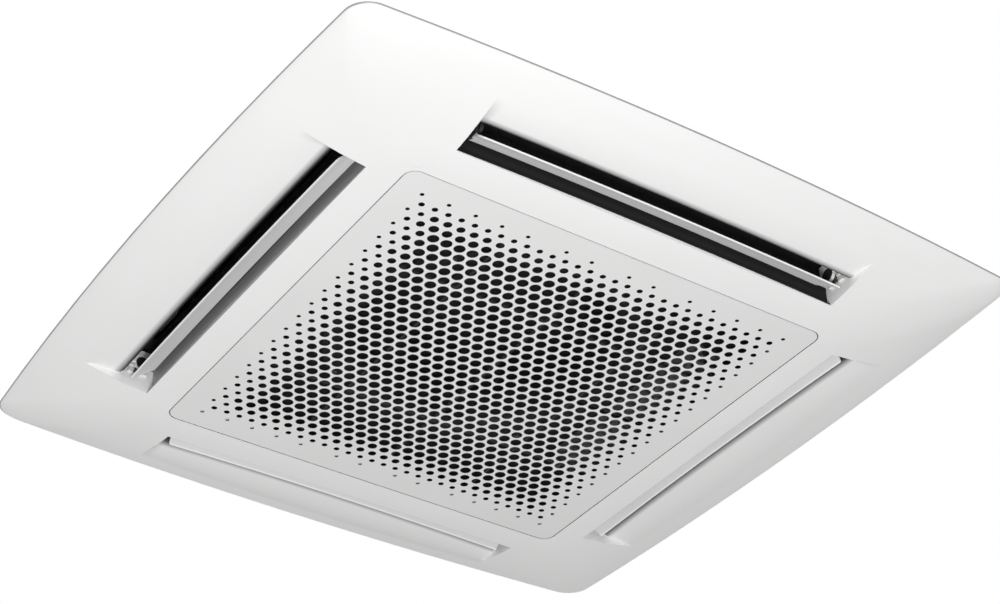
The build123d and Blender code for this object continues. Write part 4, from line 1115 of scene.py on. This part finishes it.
def build_world(fill):
    """White background, with a grey light on the object that is stronger from the camera's side."""
    world = bpy.data.worlds.new("studio")
    bpy.context.scene.world = world
    tree = emptied(world)
    side = node_of(tree, "ShaderNodeTexCoord").outputs["Generated"]
    near = node_of(tree, "ShaderNodeVectorMath", {0: side, 1: NEAR_SIDE}, operation="DOT_PRODUCT")
    strength = spread(tree, near.outputs["Value"], 0.5 * fill, 1.4 * fill, -1.0, 1.0)
    room = node_of(tree, "ShaderNodeBackground", {"Color": WHITE, "Strength": strength})
    white = node_of(tree, "ShaderNodeBackground", {"Color": WHITE})
    ray = node_of(tree, "ShaderNodeLightPath").outputs
    shown = math_of(tree, "MAXIMUM", ray["Is Camera Ray"], ray["Is Glossy Ray"])
    mix = node_of(tree, "ShaderNodeMixShader", {
        "Fac": math_of(tree, "MAXIMUM", shown, ray["Is Transmission Ray"]),
        1: room.outputs["Background"], 2: white.outputs["Background"],
    })
    node_of(tree, "ShaderNodeOutputWorld", {"Surface": mix.outputs["Shader"]})


def add_lamp(name, place, target, size, power):
    light = bpy.data.lights.new(name, "AREA")
    light.shape = "DISK"
    light.size = size
    light.energy = power
    lamp = bpy.data.objects.new(name, light)
    lamp.location = place
    lamp.rotation_mode = "QUATERNION"
    lamp.rotation_quaternion = (Vector(target) - Vector(place)).to_track_quat("-Z", "Y")
    bpy.context.scene.collection.objects.link(lamp)


class CASSETTE_OT_stage(bpy.types.Operator):
    """Set the camera at the photograph's view, with a ceiling and soft light."""

    bl_idname = "cassette.stage"
    bl_label = "Stage"

    def execute(self, context):
        scene = context.scene
        settings = scene.cassette_stage
        data = bpy.data.cameras.new("view")
        data.sensor_fit = "HORIZONTAL"
        data.sensor_width = 36.0
        data.lens = settings.lens
        data.clip_end = 100.0
        camera = bpy.data.objects.new("view", data)
        scene.collection.objects.link(camera)
        forward = Vector(VIEW_FORWARD).normalized()
        right = forward.cross(Vector(VIEW_UP)).normalized()
        turn = Matrix((right, right.cross(forward), -forward)).transposed().to_4x4()
        camera.matrix_world = Matrix.Translation(VIEW_PLACE) @ turn
        scene.camera = camera

        ceiling = square_ring("ceiling", CEILING_HOLE, CEILING_REACH, CEILING_HEIGHT - 0.0001)
        ceiling.data.materials.append(ceiling_material())

        build_world(settings.fill)
        add_lamp("key", (-0.95, -1.4, -2.1), (0.0, 0.0, -0.2), 0.7, settings.key_power)
        add_lamp("top_fill", (1.8, -1.6, 2.2), (0.0, 0.0, 0.0), 2.0, 22.0)
        scene.view_settings.view_transform = "Standard"
        return {"FINISHED"}


class CASSETTE_PT_sidebar(bpy.types.Panel):
    """Settings and steps of the model, in the sidebar."""

    bl_label = "Ceiling Cassette"
    bl_idname = "CASSETTE_PT_sidebar"
    bl_space_type = "VIEW_3D"
    bl_region_type = "UI"
    bl_category = "Cassette"

    def draw(self, context):
        for group in SETTINGS:
            settings = getattr(context.scene, group)
            box = self.layout.box()
            for name in settings.__annotations__:
                box.prop(settings, name)
        for operator in OPERATORS:
            self.layout.operator(operator.bl_idname)


OPERATORS = (
    CASSETTE_OT_materials,
    CASSETTE_OT_stage,
    CASSETTE_OT_panel,
    CASSETTE_OT_grille,
    CASSETTE_OT_grille_back,
    CASSETTE_OT_filter,
    CASSETTE_OT_flaps,
    CASSETTE_OT_coil,
    CASSETTE_OT_casing,
    CASSETTE_OT_air_mover,
    CASSETTE_OT_plumbing,
    CASSETTE_OT_controls,
)
SETTINGS = {
    "cassette_panel": CassettePanelSettings,
    "cassette_grille": CassetteGrilleSettings,
    "cassette_flaps": CassetteFlapSettings,
    "cassette_coil": CassetteCoilSettings,
    "cassette_stage": CassetteStageSettings,
}


def register():
    for cls in (*SETTINGS.values(), *OPERATORS, CASSETTE_PT_sidebar):
        bpy.utils.register_class(cls)
    for name, cls in SETTINGS.items():
        setattr(bpy.types.Scene, name, PointerProperty(type=cls))


def unregister():
    for name in SETTINGS:
        delattr(bpy.types.Scene, name)
    for cls in (CASSETTE_PT_sidebar, *reversed(OPERATORS), *reversed(tuple(SETTINGS.values()))):
        bpy.utils.unregister_class(cls)


def main():
    register()
    for operator in OPERATORS:
        group, name = operator.bl_idname.split(".")
        getattr(getattr(bpy.ops, group), name)()


if __name__ == "__main__":
    main()
